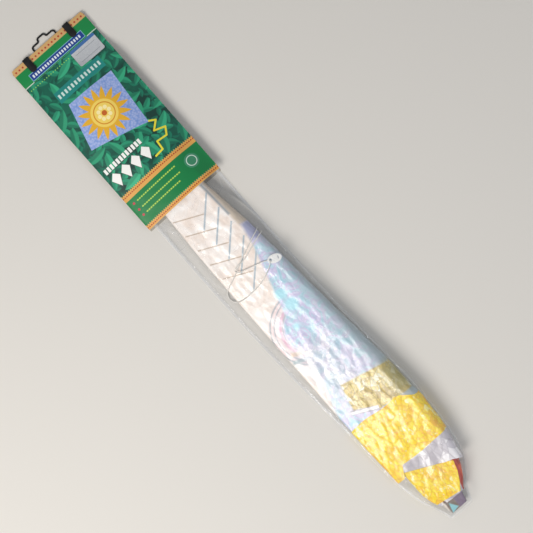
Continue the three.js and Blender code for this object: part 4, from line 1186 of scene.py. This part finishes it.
def wound_film(name, plan, finish, node, turns, start_x, end_x, offset, cells, thickness, body="kite",
               amount=1.0, fray=0.0):
    """A sheet of film on a roll, between two turns and two edges given as x over y."""
    along, around = cells
    bm = bmesh.new()
    bmesh.ops.create_grid(bm, x_segments=along, y_segments=around, size=1)
    for vert in bm.verts:
        share = (vert.co.x + 1) / 2
        turn = turns[0] + (turns[1] - turns[0]) * (vert.co.y + 1) / 2
        turn %= 1.0
        x, y, z = outline(plan, start_x(0) + share * (end_x(0) - start_x(0)), turn, offset)
        for _ in range(2):
            x = start_x(y) + share * (end_x(y) - start_x(y))
            x, y, z = outline(plan, x, turn, offset)
        end = max(0.0, 1 - (1 - share) * along / 3)
        x += fray * end * noise.noise(Vector((y / 9, z / 9, 5.0)))
        vert.co = at(*outline(plan, x, turn, offset - crease_depth(x, y, z, amount)))
    bmesh.ops.recalc_face_normals(bm, faces=bm.faces)
    # Film lies outside its roll: where the normals point in, they are turned round.
    probe = max(bm.faces, key=lambda face: face.calc_center_median().z)
    if probe.normal.z < 0:
        bmesh.ops.reverse_faces(bm, faces=bm.faces)
    bmesh.ops.solidify(bm, geom=bm.faces, thickness=thickness * MM)
    piece = add_piece(name, bm, [finish], body, [node], 1.2)
    declare_film(plan, turns, start_x, end_x)
    return piece


print("crease depth on top of the roll:", round(crease_depth(300, 10, 18), 2), "mm")

# %% [markdown]
# The outer wrap ends in the sail's own slanting edge, so its left side is shorter than its right. The
# inner roll comes out of it, and the nose tip out of that. All three leave a seam open underneath.

# %% Sail rolls
END_SLANT = 0.453
FILM = 0.12
SEAM_AT, SEAM_WIDTH = 0.84, 0.02
outer_low, outer_high = pack_box("sail_outer_wrap")
inner_low, inner_high = pack_box("sail_inner_wrap")
tip_low, tip_high = pack_box("sail_nose_tip")


def sail_end(y):
    return outer_high.x - END_SLANT * (42 - y)


left_end = sail_end(-28)
crest_end = sail_end(26)
outer_plan = roll_plan("sail_outer_wrap", left_until=left_end, crest_until=crest_end)
inner_plan = roll_plan("sail_inner_wrap")
tip_plan = roll_plan("sail_nose_tip")
whole_turn = (SEAM_AT - 1 + SEAM_WIDTH, SEAM_AT)

wound_film(
    "sail_outer_film", outer_plan, sail_white, "sail_outer_wrap", whole_turn,
    lambda y: outer_low.x, sail_end, 0.0, (360, 120), FILM, fray=1.2,
)
wound_film(
    "sail_inner_film", inner_plan, nose_film, "sail_inner_wrap", whole_turn,
    lambda y: inner_low.x, lambda y: inner_high.x, 0.0, (110, 110), FILM, fray=1.0,
)
wound_film(
    "sail_nose_film", tip_plan, tip_film, "sail_nose_tip", whole_turn,
    lambda y: tip_low.x, lambda y: tip_high.x, 0.0, (26, 80), FILM, amount=0.7,
)

# %% [markdown]
# The ribbon tail is one long strip of yellow film, wound round the roll. Three turns of it show: one that
# dips under the outer wrap, the broad one round the roll, and one round the inner roll. The broad turn's
# edges follow the strip as it was pulled tight: it widens at the fold, where its end is tucked.

# %% Ribbon turns
RIBBON = 0.14
upper_low, upper_high = pack_box("tail_ribbon_upper_wrap")
under_low = pack_box("tail_ribbon_under_wrap")[0]


def upper_start(y):
    """The broad turn's edge towards the card, pulled aside above the roll's crest."""
    return upper_low.x - 1.5 + 13 * ramp(y, 27, 50) + 1.2 * math.sin(y / 9)


def upper_end(y):
    """Its edge towards the nose, which flares where the end is tucked in."""
    return upper_high.x - 0.6 + 14 * ramp(-y, 12, 22) + 0.8 * math.sin(y / 11 + 1)


wound_film(
    "tail_ribbon_broad_turn", outer_plan, ribbon_yellow, "tail_ribbon_upper_wrap",
    (0.02, 0.98), upper_start, upper_end, 0.45, (84, 150), RIBBON, amount=1.15,
)
wound_film(
    "tail_ribbon_under_turn", outer_plan, ribbon_yellow, "tail_ribbon_under_wrap",
    (0.18, 0.6), lambda y: under_low.x + 4 + 0.2 * y, lambda y: under_low.x + 46 + 0.2 * y, -0.75, (44, 60),
    RIBBON,
)
wound_film(
    "tail_ribbon_nose_turn", inner_plan, ribbon_yellow, "tail_ribbon_lower_wrap",
    (0.375, 0.8), lambda y: 604 + 0.45 * (y + 3), lambda y: inner_high.x - 1 + 0.1 * (y - 18), 0.4, (56, 90),
    RIBBON, amount=1.15,
)

# %% [markdown]
# ### Clear bag
#
# The bag is two webs of clear film, welded together all round except at the mouth, which the card holds
# shut. The front web lies over the roll, tents over the bridle and falls to the weld. Its height is read
# off the CAD model, smoothed, and wrinkled: long pulls from the roll to the weld, and small puckers along
# the weld itself, where the hot bar shrank the film.

# %% Bag outline
def web_edges(node, stations=160):
    """The left and right edges of a flat web, over x, from its CAD solid's own edge."""
    bm = cad_copy(node)
    places = np.array([((v.co.x - TOP_EDGE) / MM, (v.co.y - MIDDLE) / MM) for v in bm.verts])
    bm.free()
    rings = np.unique(places[:, 0].round(1))
    left = [places[abs(places[:, 0] - x) < 0.2][:, 1].min() for x in rings]
    right = [places[abs(places[:, 0] - x) < 0.2][:, 1].max() for x in rings]
    fine = np.linspace(rings[0], rings[-1], stations)
    window = np.hanning(9) / np.hanning(9).sum()

    def soft(values):
        return np.convolve(np.pad(np.interp(fine, rings, values), 4, mode="edge"), window, "valid")

    return fine, soft(left), soft(right)


WELD = 3.0
web_x, web_left, web_right = web_edges("bag_back_film")
print(f"bag {web_x[-1] - web_x[0]:.0f} mm long, {max(web_right - web_left):.0f} mm wide")


def web_y(u, v):
    x = web_x[0] + u * (web_x[-1] - web_x[0])
    left, right = np.interp(x, web_x, web_left) + 0.3, np.interp(x, web_x, web_right) - 0.3
    return left + v * (right - left)


def web_place(u, v):
    return web_x[0] + 0.2 + u * (web_x[-1] - web_x[0] - 0.4)


def mark_weld(bm):
    """Stores how close each point is to the bag's edge, for the film's finish to read."""
    layer = bm.verts.layers.float.new("weld")
    for vert in bm.verts:
        x, y = (vert.co.x - TOP_EDGE) / MM, (vert.co.y - MIDDLE) / MM
        from_edge = min(
            y - np.interp(x, web_x, web_left), np.interp(x, web_x, web_right) - y, web_x[-1] - x
        )
        vert[layer] = 1 - ramp(from_edge, WELD - 0.4, WELD)


# %% Bag webs
WEB = 0.08
web_rows, web_columns = 340, 76
places = grid_places(web_place, web_y, web_rows, web_columns)
heights = smoothed(relief("bag_front_film", places), 5)
for i in range(web_rows + 1):
    for j in range(web_columns + 1):
        x, y = places[i, j]
        edge = min(y - np.interp(x, web_x, web_left), np.interp(x, web_x, web_right) - y)
        free = ramp(x, CARD_LENGTH + 1, CARD_LENGTH + 16) * ramp(edge, 0.5, 7)
        pulls = noise.turbulence(Vector((x / 30 + y / 60, y / 15 - x / 90, 4.2)), 3, True)
        near = noise.voronoi(Vector((x / 26, y / 12 + x / 70, 9.0)))[0]
        pucker = 0.25 * (1 + math.sin(x / 1.7 + 2 * noise.noise(Vector((x / 11, y / 30, 1.0)))))
        heights[i, j] += free * (1.0 * pulls + 0.9 * max(0.0, 0.45 - (near[1] - near[0])))
        heights[i, j] += 0.5 * pucker * (1 - ramp(edge, 0, WELD + 2)) * ramp(x, CARD_LENGTH, CARD_LENGTH + 10)
bm = sheet_over(places, heights, WEB)
mark_weld(bm)
bag_front = add_piece("bag_front_web", bm, [clear_film], "kite", ["bag_front_film"], 1.2)

places = grid_places(web_place, web_y, 200, 40)
heights = smoothed(relief("bag_back_film", places), 3)
bm = sheet_over(places, heights, WEB)
mark_weld(bm)
bag_back = add_piece("bag_back_web", bm, [clear_film], "kite", ["bag_back_film"], 1.2)

# %% [markdown]
# ## Stage
#
# A plain pale floor and soft studio light. The big panel is the key, off to one side, so that the roll's
# round has a bright and a dark side. A narrow strip gives the film its thin highlights.

# %% Floor and lights
floor_mesh = bmesh.new()
bmesh.ops.create_grid(floor_mesh, x_segments=1, y_segments=1, size=4)
mesh = bpy.data.meshes.new("studio_floor")
floor_mesh.to_mesh(mesh)
floor_mesh.free()
floor = bpy.data.objects.new("studio_floor", mesh)
bpy.context.scene.collection.objects.link(floor)
floor_paint, tree, shader = new_finish("matt_studio_paper", Roughness=0.9)
shader.inputs["Base Color"].default_value = chip("#dedbd5")
mesh.materials.append(floor_paint)


def soft_light(name, place, target, size, power, colour="#ffffff"):
    data = bpy.data.lights.new(name, "AREA")
    data.shape = "RECTANGLE"
    data.size, data.size_y = size
    data.energy = power
    data.color = chip(colour)[:3]
    light = bpy.data.objects.new(name, data)
    light.location = place
    light.rotation_euler = (Vector(target) - Vector(place)).to_track_quat("-Z", "Y").to_euler()
    bpy.context.scene.collection.objects.link(light)


soft_light("key_panel", (0.25, -1.08, 1.25), (0, 0, 0), (0.75, 0.75), 19, "#fffaf4")
soft_light("fill_panel", (0.9, 0.9, 1.2), (0, 0, 0), (1.4, 1.4), 5, "#f2f6ff")
soft_light("strip_top", (0.45, -0.1, 1.6), (0.1, 0, 0), (0.06, 0.5), 1.6)
world = bpy.data.worlds.new("studio")
bpy.context.scene.world = world
world.use_nodes = True
world.node_tree.nodes["Background"].inputs["Color"].default_value = chip("#eef0f3")
world.node_tree.nodes["Background"].inputs["Strength"].default_value = 0.36
bpy.context.scene.view_settings.view_transform = "Standard"
print("stage ready")
